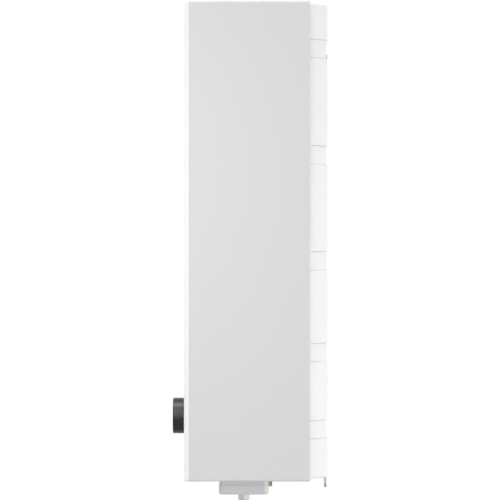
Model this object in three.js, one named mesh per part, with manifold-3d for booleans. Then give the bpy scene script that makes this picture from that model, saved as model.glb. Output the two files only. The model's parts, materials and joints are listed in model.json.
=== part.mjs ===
// A flat wall-hung electric water heater with two tanks side by side, in millimetres.
// It is drawn as it is seen from the front: x to the right, y up, z out from the wall.
// y = 0 is the centre of the hanging bracket and z = 0 is the wall.
// The last lines turn the whole heater so that up is +Z and the front faces -Y.

import * as THREE from 'three';
import { mergeVertices } from 'three/addons/utils/BufferGeometryUtils.js';
import Module from 'manifold-3d';

const wasm = await Module();
wasm.setup();

// Sizes shared by many pieces
const fit = 0.3;
const overrun = 6;
const sheet = 1.2;

// Casing, from the wall outwards
const casingWidth = 434;
const casingHeight = 860;
const casingTopY = 110;
const casingCorner = 4;
const wallGap = 2;
const rearShellDepth = 32;
const rearShellWall = 1.5;
const rearEdgeRound = 2.5;
const rearFlangeWidth = 18;
const frontPanelDepth = 9;
const frontPanelRound = 4;
const frontPanelOverhang = 0.8;
const frontLipDepth = 8;

// Foam round the tanks, which sets the tanks' size and the casing's depth
const tankGap = 3;
const sideFoam = 10.3;
const rearFoam = 37.5;
const frontFoam = 13.8;
const topFoam = 36.8;
const bottomSpace = 57;

const casingBottomY = casingTopY - casingHeight;
const casingMiddleY = casingTopY - casingHeight / 2;
const casingRearZ = wallGap + rearShellDepth;
const tankRadius = (casingWidth / 2 - sheet - sideFoam - tankGap / 2) / 2;
const tankX = tankRadius + tankGap / 2;
const tankZ = wallGap + rearShellWall + rearFoam + tankRadius;
const tankTopY = casingTopY - sheet - topFoam;
const tankBottomY = casingBottomY + bottomSpace;
const panelInnerZ = tankZ + tankRadius + frontFoam;
const panelFaceZ = panelInnerZ + sheet;
const casingFrontZ = panelFaceZ - frontPanelDepth;

// Shape helpers
const cornerSteps = 3;
const bendSteps = 4;
const mergeTolerance = 1e-4;
const sides = [1, -1];

const sideName = (side) => (side > 0 ? 'right' : 'left');

function solidOf(geometry) {
  const bare = geometry.clone();
  bare.deleteAttribute('normal');
  bare.deleteAttribute('uv');
  const merged = mergeVertices(bare, mergeTolerance);
  const corners = merged.index.array;
  const triVerts = [];
  for (let i = 0; i < corners.length; i += 3) {
    const [a, b, c] = corners.slice(i, i + 3);
    if (a !== b && b !== c && c !== a) triVerts.push(a, b, c);
  }
  const mesh = new wasm.Mesh({
    numProp: 3,
    vertProperties: Float32Array.from(merged.attributes.position.array),
    triVerts: Uint32Array.from(triVerts),
  });
  return new wasm.Manifold(mesh);
}

function geometryOf(solid) {
  const mesh = solid.getMesh();
  const geometry = new THREE.BufferGeometry();
  geometry.setAttribute('position', new THREE.BufferAttribute(mesh.vertProperties, 3));
  geometry.setIndex(new THREE.BufferAttribute(mesh.triVerts, 1));
  geometry.computeVertexNormals();
  return geometry;
}

function block(x0, x1, y0, y1, z0, z1) {
  const box = new THREE.BoxGeometry(x1 - x0, y1 - y0, z1 - z0);
  return solidOf(box.translate((x0 + x1) / 2, (y0 + y1) / 2, (z0 + z1) / 2));
}

function turned(profile, segments) {
  return solidOf(new THREE.LatheGeometry(profile.map(([r, y]) => new THREE.Vector2(r, y)), segments));
}

function turnedOut(profile, segments, y, z) {
  const points = profile.map(([r, out]) => new THREE.Vector2(r, out));
  return solidOf(new THREE.LatheGeometry(points, segments).rotateX(Math.PI / 2).translate(0, y, z));
}

function uprightRod(radius, y0, y1, x, z, segments) {
  const rod = new THREE.CylinderGeometry(radius, radius, y1 - y0, segments);
  return solidOf(rod.translate(x, (y0 + y1) / 2, z));
}

function outwardRod(radius, z0, z1, x, y, segments) {
  const rod = new THREE.CylinderGeometry(radius, radius, z1 - z0, segments);
  return solidOf(rod.rotateX(Math.PI / 2).translate(x, y, (z0 + z1) / 2));
}

// A hexagon of the given width across its flats, with two corners on the x axis
function hexagonShape(acrossFlats) {
  const radius = acrossFlats / Math.sqrt(3);
  const corners = [0, 1, 2, 3, 4, 5].map((k) => k * Math.PI / 3);
  return new THREE.Shape(corners.map((a) => new THREE.Vector2(radius * Math.cos(a), radius * Math.sin(a))));
}

function uprightHexagon(acrossFlats, y0, y1) {
  const options = { depth: y1 - y0, bevelEnabled: false };
  const prism = new THREE.ExtrudeGeometry(hexagonShape(acrossFlats), options);
  return solidOf(prism.rotateX(-Math.PI / 2).translate(0, y0, 0));
}

// Corner points of a rectangle with round corners, anticlockwise round its centre
function roundedOutline(halfWidth, halfHeight, radius) {
  const points = [];
  const quadrants = [[1, 1], [-1, 1], [-1, -1], [1, -1]];
  quadrants.forEach(([u, v], quadrant) => {
    for (let step = 0; step <= cornerSteps; step += 1) {
      const angle = (quadrant + step / cornerSteps) * Math.PI / 2;
      points.push([
        u * (halfWidth - radius) + radius * Math.cos(angle),
        v * (halfHeight - radius) + radius * Math.sin(angle),
      ]);
    }
  });
  return points;
}

const frontRing = (outline, y, z) => outline.map(([u, v]) => new THREE.Vector3(u, v + y, z));
const levelRing = (outline, y, z) => outline.map(([u, v]) => new THREE.Vector3(u, y, z - v));

// A closed body through rings of equal counts: capped at both ends, or joined last to first
function loft(rings, joined = false) {
  const count = rings[0].length;
  const points = rings.flat();
  const faces = [];
  const bands = joined ? rings.length : rings.length - 1;
  for (let band = 0; band < bands; band += 1) {
    const low = band * count;
    const high = ((band + 1) % rings.length) * count;
    for (let k = 0; k < count; k += 1) {
      const next = (k + 1) % count;
      faces.push(low + k, low + next, high + next, low + k, high + next, high + k);
    }
  }
  if (!joined) {
    const last = (rings.length - 1) * count;
    for (let k = 1; k < count - 1; k += 1) {
      faces.push(0, k + 1, k, last, last + k, last + k + 1);
    }
  }
  const geometry = new THREE.BufferGeometry().setFromPoints(points);
  geometry.setIndex(faces);
  return solidOf(geometry);
}

// Points of an arc, from angle a0 to a1 in quarter turns
function arcPoints(cx, cy, radius, a0, a1, steps) {
  const points = [];
  for (let step = 0; step <= steps; step += 1) {
    const angle = (a0 + (a1 - a0) * step / steps) * Math.PI / 2;
    points.push([cx + radius * Math.cos(angle), cy + radius * Math.sin(angle)]);
  }
  return points;
}

// A path through given points, with one extrusion step from each point to the next
class StepPath extends THREE.Curve {
  constructor(points) {
    super();
    this.points = points;
  }

  getPoint(t, target = new THREE.Vector3()) {
    const place = Math.min(Math.max(t, 0), 1) * (this.points.length - 1);
    const index = Math.min(Math.floor(place), this.points.length - 2);
    return target.lerpVectors(this.points[index], this.points[index + 1], place - index);
  }

  getUtoTmapping(u) {
    return u;
  }
}

// A route with each inner corner turned into an arc of the given radius
function bentRoute(corners, radius, steps) {
  const route = [corners[0]];
  for (let i = 1; i < corners.length - 1; i += 1) {
    const back = corners[i - 1].clone().sub(corners[i]).normalize();
    const ahead = corners[i + 1].clone().sub(corners[i]).normalize();
    const halfAngle = Math.acos(back.dot(ahead)) / 2;
    const bisector = back.clone().add(ahead).normalize();
    const centre = corners[i].clone().addScaledVector(bisector, radius / Math.sin(halfAngle));
    const start = corners[i].clone().addScaledVector(back, radius / Math.tan(halfAngle)).sub(centre);
    const axis = start.clone().cross(bisector.clone().negate()).normalize();
    const sweep = Math.PI - 2 * halfAngle;
    for (let step = 0; step <= steps; step += 1) {
      route.push(start.clone().applyAxisAngle(axis, sweep * step / steps).add(centre));
    }
  }
  route.push(corners[corners.length - 1]);
  return route;
}

function circleShape(radius, count) {
  const points = [];
  for (let k = 0; k < count; k += 1) {
    const angle = 2 * Math.PI * k / count;
    points.push(new THREE.Vector2(radius * Math.cos(angle), radius * Math.sin(angle)));
  }
  return points;
}

function bentTube(route, radius, bore, count) {
  const shape = new THREE.Shape(circleShape(radius, count));
  if (bore > 0) shape.holes.push(new THREE.Path(circleShape(bore, count).reverse()));
  const extrudePath = new StepPath(route);
  return solidOf(new THREE.ExtrudeGeometry(shape, { steps: route.length - 1, extrudePath }));
}

// Materials, by what each piece is made of
function finish(color, roughness, metalness) {
  return new THREE.MeshStandardMaterial({ color, roughness, metalness });
}

const sideEnamel = finish(0xe2e3e2, 0.42, 0);
const frontEnamel = finish(0xf6f7f7, 0.3, 0);
const rearEnamel = finish(0xf1f2f2, 0.5, 0);
const knobPlastic = finish(0x0b0b0c, 0.28, 0);
const coverPlastic = finish(0xc4c5c5, 0.5, 0);
const palePlastic = finish(0xdedfdd, 0.5, 0);
const markPlastic = finish(0xf2f2ef, 0.45, 0);
const trimPlastic = finish(0x9fa3a6, 0.35, 0);
const darkPlastic = finish(0x2a2b2d, 0.55, 0);
const redPlastic = finish(0xb8251d, 0.4, 0);
const bluePlastic = finish(0x1f5fb0, 0.4, 0);
const brass = finish(0xa6967c, 0.35, 0.9);
const zincSteel = finish(0xc9cbcd, 0.45, 0.85);
const tankSteel = finish(0x8d9194, 0.55, 0.6);
const elementSteel = finish(0xa3a6a8, 0.4, 0.85);
const magnesium = finish(0xb4b6b6, 0.7, 0.5);
const rubber = finish(0x232323, 0.85, 0);
const foam = finish(0xf0eee4, 0.95, 0);

const heater = new THREE.Group();

function addPiece(name, solid, material, parent = heater) {
  const mesh = new THREE.Mesh(geometryOf(solid), material);
  mesh.name = name;
  parent.add(mesh);
}

// Nipples, the stubs that the water pipes screw onto
const nipplePitch = 100;
const nippleSetback = 32.2;
const nippleRadius = 10.48;
const nippleBore = 7.5;
const nippleDrop = 25.3;
const nippleReach = 82;
const nippleRootDepth = 0.9;
const threadPitch = 1.814;
const threadTurns = 6;
const pipeHoleRadius = 12.5;
const nippleSegments = 20;
const nippleX = nipplePitch / 2;
const nippleZ = tankZ - nippleSetback;
const nippleEndY = casingBottomY - nippleDrop;
const nippleTopY = casingBottomY + nippleReach;

// Necks of the tanks and the plugs that screw into them
const neckRadius = 27;
const neckBore = 21.25;
const neckLength = 35;
const plugRadius = neckBore - fit;
const plugAcross = 54;
const serviceMargin = 1.8;
const serviceHoleRadius = plugAcross / Math.sqrt(3) + serviceMargin;
const neckEndY = tankBottomY - neckLength;

// Casing band: the four flat sides with a flange turned in at the rear
function casingRing(inset, z) {
  const radius = Math.max(casingCorner - inset, sheet / 2);
  const outline = roundedOutline(casingWidth / 2 - inset, casingHeight / 2 - inset, radius);
  return frontRing(outline, casingMiddleY, z);
}

function casingBand() {
  const centreZ = casingRearZ + rearEdgeRound;
  const outerRound = arcPoints(rearEdgeRound, centreZ, rearEdgeRound, -1, -2, cornerSteps);
  const innerRound = arcPoints(rearEdgeRound, centreZ, rearEdgeRound - sheet, -2, -1, cornerSteps);
  const stations = [
    ...outerRound,
    [0, casingFrontZ],
    [sheet, casingFrontZ],
    ...innerRound,
    [rearFlangeWidth, casingRearZ + sheet],
    [rearFlangeWidth, casingRearZ],
  ];
  let band = loft(stations.map(([inset, z]) => casingRing(inset, z)), true);
  const drill = (radius, x, z, segments) => uprightRod(
    radius, casingBottomY - overrun, casingBottomY + sheet + overrun, x, z, segments,
  );
  for (const side of sides) {
    band = band.subtract(drill(pipeHoleRadius, side * nippleX, nippleZ, nippleSegments));
    band = band.subtract(drill(serviceHoleRadius, side * tankX, tankZ, nippleSegments));
    for (const z of bossZs) {
      band = band.subtract(drill(coverScrewRadius + fit, side * bossX, z, elementSides));
    }
  }
  return band;
}

// Front panel: a shallow tray whose lip slides inside the band
const panelLipInset = sheet + fit;
const knobRise = 102.5;
const knobRadius = 33.5;
const spindleHoleRadius = 5;
const dialMargin = 2.5;
const dialWidth = 14;
const lensMargin = 12;
const lensRadius = 4;
const dialThickness = 1;
const dialSeat = 0.5;
const knobSegments = 32;
const knobY = casingBottomY + knobRise;
const dialInner = knobRadius + dialMargin;
const dialOuter = dialInner + dialWidth;
const lensY = knobY + dialOuter + lensMargin;

function frontPanel() {
  const overhang = -frontPanelOverhang;
  const round = frontPanelRound;
  const edge = arcPoints(overhang + round, panelFaceZ - round, round, 2, 1, cornerSteps);
  const lipEnd = panelLipInset + sheet;
  const stations = [
    [lipEnd, panelInnerZ],
    [lipEnd, casingFrontZ - frontLipDepth],
    [panelLipInset, casingFrontZ - frontLipDepth],
    [panelLipInset, casingFrontZ + fit],
    [overhang, casingFrontZ + fit],
    ...edge,
  ];
  const through = [panelInnerZ - overrun, panelFaceZ + overrun];
  const recess = turnedOut([
    [dialInner - fit, 0],
    [dialOuter + fit, 0],
    [dialOuter + fit, dialSeat + overrun],
    [dialInner - fit, dialSeat + overrun],
    [dialInner - fit, 0],
  ], knobSegments, knobY, panelFaceZ - dialSeat);
  const panel = loft(stations.map(([inset, z]) => casingRing(inset, z)))
    .subtract(outwardRod(spindleHoleRadius, ...through, 0, knobY, nippleSegments))
    .subtract(outwardRod(lensRadius + fit, ...through, 0, lensY, nippleSegments))
    .subtract(recess);
  return sides.reduce((left, side) => left.subtract(
    outwardRod(controlScrewRadius + fit, ...through, 0, knobY + side * controlScrewPitch / 2, boltSegments),
  ), panel);
}

// Rear shell: a pressed pan with chamfered sides, level grooves and pockets for the brackets
const rearShellSideInset = 14;
const rearShellEndInset = 3;
const chamferRun = 30;
const grooveHeight = 34;
const grooveDepth = 2;
const grooveRiseShares = [0.9038, 0.6815, 0.4595, 0.2676, 0.1066];
const chamferSlope = chamferRun / rearShellDepth;
const chamferStretch = Math.hypot(chamferRun, rearShellDepth) / rearShellDepth;

// Wall brackets: steel strips bent in a Z, one to hang on and one that steadies the foot
const bracketThickness = 4;
const bracketOffset = 18;
const bracketBend = 3;
const upperBracketWidth = 200;
const upperBracketRise = 24;
const upperBracketFall = 20;
const upperPlateDrop = 32;
const lowerBracketWidth = 120;
const lowerBoltHeight = 103;
const lowerPlateReach = 15;
const lowerStepDrop = 15;
const lowerTabDrop = 27;
const pocketMargin = 6;
const hookRoom = 18;
const pocketFloorZ = bracketOffset + bracketThickness + fit;
const upperBoltDrop = 38;
const upperBoltY = -upperBoltDrop;
const lowerBoltY = casingBottomY + lowerBoltHeight;

const upperPocket = {
  halfWidth: upperBracketWidth / 2 + pocketMargin,
  bottom: -upperBracketFall - upperPlateDrop - pocketMargin,
  top: upperBracketRise + hookRoom,
};
const lowerPocket = {
  halfWidth: lowerBracketWidth / 2 + pocketMargin,
  bottom: casingBottomY - overrun,
  top: lowerBoltY + lowerPlateReach + pocketMargin,
};

function rearPan(wall, depthIn, frontZ) {
  const halfHeight = casingHeight / 2 - rearShellEndInset - wall;
  const backZ = wallGap + wall + depthIn;
  const halfWidthAt = (z) => casingWidth / 2 - rearShellSideInset - (casingRearZ - z) * chamferSlope
    - (wall + depthIn) * chamferStretch;
  const ring = (z) => frontRing(roundedOutline(halfWidthAt(z), halfHeight, casingCorner), casingMiddleY, z);
  return loft([ring(backZ), ring(frontZ)]);
}

function rearForm(wall, frontZ) {
  const plain = rearPan(wall, 0, frontZ);
  const deeper = rearPan(wall, grooveDepth, frontZ);
  const reach = casingWidth;
  let form = plain;
  for (const share of grooveRiseShares) {
    const middle = casingBottomY + casingHeight * share;
    const low = middle - grooveHeight / 2 - wall;
    const high = middle + grooveHeight / 2 + wall;
    form = form.subtract(block(-reach, reach, low, high, -overrun, frontZ).subtract(deeper));
  }
  for (const pocket of [upperPocket, lowerPocket]) {
    const halfWidth = pocket.halfWidth + wall;
    const floor = pocketFloorZ + wall;
    const low = pocket.bottom - wall;
    const high = pocket.top + wall;
    form = form.subtract(block(-halfWidth, halfWidth, low, high, -overrun, floor));
  }
  return form;
}

// Tie bars: channels across both tanks, which the brackets bolt to through the rear shell
const tieWall = 3;
const tieHeight = 50;
const tieHalfWidth = 140;
const tieLegReach = 36;
const boltRadius = 4;
const boltInset = 15;
const boltHeadAcross = 13;
const boltHeadHeight = 5.3;
const boltLength = 20;
const boltSegments = 12;
const weldNutHeight = 6.5;
const boltX = lowerBracketWidth / 2 - boltInset;
const tieBackZ = pocketFloorZ + rearShellWall + fit;
const tieLevels = [
  { name: 'upper', y: upperBoltY },
  { name: 'lower', y: lowerBoltY },
];

function hexagonOut(acrossFlats, z0, z1, x, y) {
  const options = { depth: z1 - z0, bevelEnabled: false };
  const prism = new THREE.ExtrudeGeometry(hexagonShape(acrossFlats), options);
  return solidOf(prism.translate(x, y, z0));
}

// Tank: one turned vessel with domed ends and an open neck below
const tankWall = 1.8;
const domeDepth = 35;
const domeSteps = 3;
const tankSegments = 24;
const pipeRadius = 8;
const pipeBore = 6.6;
const pipeSides = 8;
const pipeBend = 14;
const crossoverRise = 18;
const crossoverX = 60;
const crossoverDip = 20;
const dipTubeLength = 690;

function domeCurve(radius, depth, edgeRadius) {
  const startAngle = Math.asin(edgeRadius / radius);
  const points = [];
  for (let step = 0; step <= domeSteps; step += 1) {
    const angle = startAngle + (Math.PI / 2 - startAngle) * step / domeSteps;
    points.push([radius * Math.sin(angle), depth * (1 - Math.cos(angle))]);
  }
  return points;
}

function tankProfile(clear) {
  const radius = tankRadius + clear;
  const depth = domeDepth + clear;
  const low = domeCurve(radius, depth, neckRadius + clear).map(([r, y]) => [r, tankBottomY - clear + y]);
  const high = domeCurve(radius, depth, 0).map(([r, y]) => [r, tankTopY + clear - y]).reverse();
  return [[neckRadius + clear, neckEndY - clear], ...low, ...high];
}

function tankEnvelope() {
  return turned([[0, neckEndY - fit], ...tankProfile(fit)], tankSegments);
}

function tank(side) {
  const innerRadius = tankRadius - tankWall;
  const innerDepth = domeDepth - tankWall;
  const floorY = tankBottomY + tankWall;
  const roofY = tankTopY - tankWall;
  const low = domeCurve(innerRadius, innerDepth, neckBore).map(([r, y]) => [r, floorY + y]).reverse();
  const high = domeCurve(innerRadius, innerDepth, 0).map(([r, y]) => [r, roofY - y]);
  const vessel = turned([...high, ...low, [neckBore, neckEndY], ...tankProfile(0)], tankSegments);
  const nippleHole = uprightRod(nippleRadius + fit, neckEndY, tankBottomY + 2 * domeDepth,
    side * (nippleX - tankX), nippleZ - tankZ, nippleSegments);
  const pipeHole = uprightRod(pipeRadius + fit, tankTopY - 2 * domeDepth, tankTopY + overrun,
    side * (crossoverX - tankX), 0, nippleSegments);
  return vessel.subtract(nippleHole).subtract(pipeHole);
}

const placed = (solid, x, y, z) => solidOf(geometryOf(solid).translate(x, y, z));
const tankEnvelopes = sides.map((side) => placed(tankEnvelope(), side * tankX, 0, tankZ));

function tieBar(y) {
  const low = y - tieHeight / 2;
  const high = y + tieHeight / 2;
  const frontZ = tieBackZ + tieLegReach;
  let bar = block(-tieHalfWidth, tieHalfWidth, low, high, tieBackZ, frontZ)
    .subtract(block(-tieHalfWidth - overrun, tieHalfWidth + overrun, low + tieWall, high - tieWall,
      tieBackZ + tieWall, frontZ + overrun));
  for (const side of sides) {
    const x = side * boltX;
    const nutZ = tieBackZ + tieWall;
    const boreEndZ = nutZ + weldNutHeight + overrun;
    bar = bar
      .add(hexagonOut(boltHeadAcross, nutZ - fit, nutZ + weldNutHeight, x, y))
      .subtract(outwardRod(boltRadius + fit, tieBackZ - overrun, boreEndZ, x, y, boltSegments));
  }
  return tankEnvelopes.reduce((left, envelope) => left.subtract(envelope), bar);
}

function rearShell() {
  const rimZ = casingRearZ - fit;
  let shell = rearForm(0, rimZ).subtract(rearForm(rearShellWall, rimZ + overrun));
  for (const { y } of tieLevels) {
    for (const side of sides) {
      const hole = outwardRod(boltRadius + fit, -overrun, casingRearZ, side * boltX, y, boltSegments);
      shell = shell.subtract(hole);
    }
  }
  return shell;
}

// The strip's section, drawn as it is seen from the side, with the wall at z = 0
function bentStrip(width, run) {
  const shape = new THREE.Shape(run.map(([z, y]) => new THREE.Vector2(z, y)));
  const strip = new THREE.ExtrudeGeometry(shape, { depth: width, bevelEnabled: false });
  return solidOf(strip.rotateY(-Math.PI / 2).translate(width / 2, 0, 0));
}

function stripSection(topY, bendY, bottomY, outerAtTop) {
  const outer = bracketThickness + bracketBend;
  const inner = bracketBend;
  const nearWall = 0;
  const farZ = bracketOffset + bracketThickness;
  if (outerAtTop) {
    return [
      [nearWall, topY],
      ...arcPoints(nearWall + outer, bendY + outer, outer, 2, 3, cornerSteps),
      ...arcPoints(bracketOffset - inner, bendY - inner, inner, 1, 0, cornerSteps),
      [bracketOffset, bottomY],
      [farZ, bottomY],
      ...arcPoints(farZ - outer, bendY + bracketThickness - outer, outer, 0, 1, cornerSteps),
      ...arcPoints(bracketThickness + inner, bendY + bracketThickness + inner, inner, 3, 2, cornerSteps),
      [bracketThickness, topY],
    ];
  }
  return [
    [bracketOffset, topY],
    ...arcPoints(bracketOffset - inner, bendY + bracketThickness + inner, inner, 4, 3, cornerSteps),
    ...arcPoints(nearWall + outer, bendY + bracketThickness - outer, outer, 1, 2, cornerSteps),
    [nearWall, bottomY],
    [bracketThickness, bottomY],
    ...arcPoints(bracketThickness + inner, bendY - inner, inner, 2, 1, cornerSteps),
    ...arcPoints(farZ - outer, bendY + outer, outer, -1, 0, cornerSteps),
    [farZ, topY],
  ];
}

function boltHoles(bracket, y) {
  const through = [bracketOffset - overrun, pocketFloorZ + overrun];
  return sides.reduce((left, side) => left.subtract(
    outwardRod(boltRadius + fit, ...through, side * boltX, y, boltSegments),
  ), bracket);
}

const hookSlotInset = 38;
const hookSlotWidth = 44;
const hookSlotHeight = 12;
const hookSlotX = upperBracketWidth / 2 - hookSlotInset;

function slotOut(width, height, x, y) {
  const outline = roundedOutline(width / 2, height / 2, height / 2 - fit);
  const rings = [-overrun, bracketThickness + overrun].map((z) => frontRing(outline, y, z));
  return solidOf(geometryOf(loft(rings)).translate(x, 0, 0));
}

function upperBracket() {
  const bendY = -upperBracketFall - bracketThickness;
  const section = stripSection(upperBracketRise, bendY, bendY - upperPlateDrop + bracketThickness, true);
  const strip = bentStrip(upperBracketWidth, section.reverse());
  const slotted = sides.reduce((left, side) => left.subtract(
    slotOut(hookSlotWidth, hookSlotHeight, side * hookSlotX, 0),
  ), strip);
  return boltHoles(slotted, upperBoltY);
}

const tabCorner = 10;
const tabHoleRadius = 4.5;
const tabHoleRise = 12;
const tabEndY = casingBottomY - lowerTabDrop;
const tabHoleY = tabEndY + tabHoleRise;

function lowerBracket() {
  const bendY = lowerBoltY - lowerStepDrop - bracketThickness;
  const section = stripSection(lowerBoltY + lowerPlateReach, bendY, tabEndY, false);
  const strip = bentStrip(lowerBracketWidth, section.reverse());
  const middleY = (lowerBoltY + lowerPlateReach + tabEndY) / 2;
  const halfHeight = (lowerBoltY + lowerPlateReach - tabEndY) / 2;
  const outline = roundedOutline(lowerBracketWidth / 2, halfHeight, tabCorner);
  const rings = [-overrun, pocketFloorZ + overrun].map((z) => frontRing(outline, middleY, z));
  const rounded = strip.intersect(loft(rings));
  const hole = outwardRod(tabHoleRadius, -overrun, bracketThickness + overrun, 0, tabHoleY, nippleSegments);
  return boltHoles(rounded.subtract(hole), lowerBoltY);
}

function bracketBolt(x, y) {
  const headZ = bracketOffset - fit;
  return hexagonOut(boltHeadAcross, headZ - boltHeadHeight, headZ, x, y)
    .add(outwardRod(boltRadius, headZ - fit, headZ + boltLength, x, y, boltSegments));
}

// Thermostat behind the front panel, in the valley between the tanks
const controlWidth = 40;
const controlHeight = 48;
const controlDepth = 40;
const controlCorner = 3;
const controlFrontZ = panelInnerZ - fit;
const spindleRadius = 3;
const spindleBoreDepth = 14;
const terminalTabWidth = 6.3;
const terminalTabThickness = 0.8;
const terminalTabLength = 8;
const controlScrewPitch = 28;
const controlScrewRadius = 2;
const controlScrewHead = 3.8;
const controlScrewHeadHeight = 2.2;
const controlScrewLength = 7;

function controlBody() {
  const outline = roundedOutline(controlWidth / 2, controlHeight / 2, controlCorner);
  const rings = [controlFrontZ - controlDepth, controlFrontZ].map((z) => frontRing(outline, knobY, z));
  let body = loft(rings);
  for (const side of sides) {
    const x = side * controlWidth / 4;
    const rearZ = controlFrontZ - controlDepth;
    const halfTab = terminalTabWidth / 2;
    body = body.add(block(x - halfTab, x + halfTab, knobY, knobY + terminalTabThickness,
      rearZ - terminalTabLength, rearZ + fit));
    const screwY = knobY + side * controlScrewPitch / 2;
    body = body.subtract(outwardRod(controlScrewRadius + fit, controlFrontZ - controlScrewLength - fit,
      controlFrontZ + overrun, 0, screwY, boltSegments));
  }
  return body.subtract(outwardRod(spindleRadius + fit, controlFrontZ - spindleBoreDepth - fit,
    controlFrontZ + overrun, 0, knobY, boltSegments));
}

function controlScrew(y) {
  const seatZ = panelFaceZ + fit;
  const pointZ = controlFrontZ - controlScrewLength + fit;
  return outwardRod(controlScrewHead, seatZ, seatZ + controlScrewHeadHeight, 0, y, boltSegments)
    .add(outwardRod(controlScrewRadius, pointZ, seatZ + fit, 0, y, boltSegments));
}

// Knob: a deep round knob with a bowed face, on a spindle
const knobLift = 1;
const knobHeight = 26;
const knobCrown = 2;
const knobEdgeRound = 1.8;
const crownShare = 0.75;
const knobSkirtWall = 2.5;
const knobHubRadius = 6.5;
const knobHubLift = 3.4;
const knobRoof = 3;
const spindleInKnob = 16;
const pointerWidth = 3;
const pointerLength = 15;
const pointerDepth = 1.2;
const knobBaseZ = panelFaceZ + knobLift;
const knobTopZ = knobBaseZ + knobHeight + knobCrown;

function knobForm() {
  const roof = knobHeight - knobRoof;
  const boreRadius = spindleRadius + fit;
  const boreRoof = knobHubLift + spindleInKnob + fit;
  const shoulder = knobHeight - knobEdgeRound;
  const profile = [
    [0, boreRoof],
    [boreRadius, boreRoof],
    [boreRadius, knobHubLift],
    [knobHubRadius, knobHubLift],
    [knobHubRadius, roof],
    [knobRadius - knobSkirtWall, roof],
    [knobRadius - knobSkirtWall, 0],
    [knobRadius, 0],
    ...arcPoints(knobRadius - knobEdgeRound, shoulder, knobEdgeRound, 0, 1, cornerSteps),
    [knobRadius / 2, knobHeight + knobCrown * crownShare],
    [0, knobHeight + knobCrown],
  ];
  return turnedOut(profile, knobSegments, knobY, knobBaseZ);
}

function pointerBlock(clear) {
  const tip = knobY + knobRadius - knobEdgeRound - pointerWidth;
  const halfWidth = pointerWidth / 2 + clear;
  return block(-halfWidth, halfWidth, tip - pointerLength - clear, tip + clear,
    knobTopZ - knobCrown - pointerDepth - clear, knobTopZ + overrun);
}

function knobSpindle() {
  const tipZ = knobBaseZ + knobHubLift + spindleInKnob;
  return outwardRod(spindleRadius, controlFrontZ - spindleBoreDepth, tipZ, 0, knobY, boltSegments);
}

function dialRing() {
  return turnedOut([
    [dialInner, 0],
    [dialOuter, 0],
    [dialOuter, dialThickness],
    [dialInner, dialThickness],
    [dialInner, 0],
  ], knobSegments, knobY, panelFaceZ - dialSeat + fit);
}

// Pilot light: a lens with a flange behind the panel, and the lamp it covers
const lensProud = 1.2;
const lensFlange = 6;
const lensFlangeDepth = 2;
const lampRadius = 3;
const lampLength = 12;

function indicatorLens() {
  const length = panelFaceZ - panelInnerZ + fit;
  const profile = [
    [0, -lensFlangeDepth],
    [lensFlange, -lensFlangeDepth],
    [lensFlange, 0],
    [lensRadius, 0],
    [lensRadius, length],
    [lensRadius / 2, length + lensProud * crownShare],
    [0, length + lensProud],
  ];
  return turnedOut(profile, boltSegments, lensY, panelInnerZ - fit);
}

function indicatorLamp() {
  const frontZ = panelInnerZ - lensFlangeDepth - 2 * fit;
  return outwardRod(lampRadius, frontZ - lampLength, frontZ, 0, lensY, boltSegments);
}

// Heat insulation: two foam halves that meet in the plane of the tank axes
const foamRise = 20;
const foamBottomY = tankBottomY + foamRise;
const crossoverRoom = 10;

function cutForTanks(foamHalf) {
  const crossoverReach = crossoverX + pipeRadius + fit;
  const crossoverTop = tankTopY + crossoverRise + crossoverRoom;
  const room = block(-crossoverReach, crossoverReach, tankTopY - domeDepth, crossoverTop,
    tankZ - crossoverRoom, tankZ + crossoverRoom);
  return tankEnvelopes.reduce((left, envelope) => left.subtract(envelope), foamHalf.subtract(room));
}

function foamSlab(inset, z0, z1) {
  const topY = casingTopY - inset;
  const outline = roundedOutline(casingWidth / 2 - inset, (topY - foamBottomY) / 2, casingCorner);
  return loft([z0, z1].map((z) => frontRing(outline, (topY + foamBottomY) / 2, z)));
}

function frontInsulation() {
  const half = foamSlab(panelLipInset + sheet + fit, tankZ + fit / 2, panelInnerZ - fit);
  const rearZ = controlFrontZ - controlDepth - terminalTabLength - fit;
  const halfWidth = controlWidth / 2 + fit;
  const halfHeight = controlHeight / 2 + fit;
  const controlRoom = block(-halfWidth, halfWidth, knobY - halfHeight, knobY + halfHeight,
    rearZ, panelInnerZ + overrun);
  const lampRoom = outwardRod(lensFlange + fit, panelInnerZ - lensFlangeDepth - lampLength - 3 * fit,
    panelInnerZ + overrun, 0, lensY, boltSegments);
  return cutForTanks(half.subtract(controlRoom).subtract(lampRoom));
}

function rearInsulation() {
  const slab = foamSlab(sheet + fit, casingRearZ + rearEdgeRound, tankZ - fit / 2);
  const openHalfWidth = casingWidth / 2 - rearFlangeWidth - fit;
  const openTop = casingTopY - rearFlangeWidth - fit;
  const opening = block(-openHalfWidth, openHalfWidth, foamBottomY, openTop, 0, tankZ);
  const core = rearForm(rearShellWall + fit, tankZ - fit / 2).intersect(opening);
  const withTies = tieLevels.reduce((left, { y }) => left.subtract(
    block(-tieHalfWidth - fit, tieHalfWidth + fit, y - tieHeight / 2 - fit, y + tieHeight / 2 + fit,
      tieBackZ - overrun, tieBackZ + tieLegReach + fit),
  ), slab.add(core));
  return cutForTanks(withTies);
}

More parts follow.
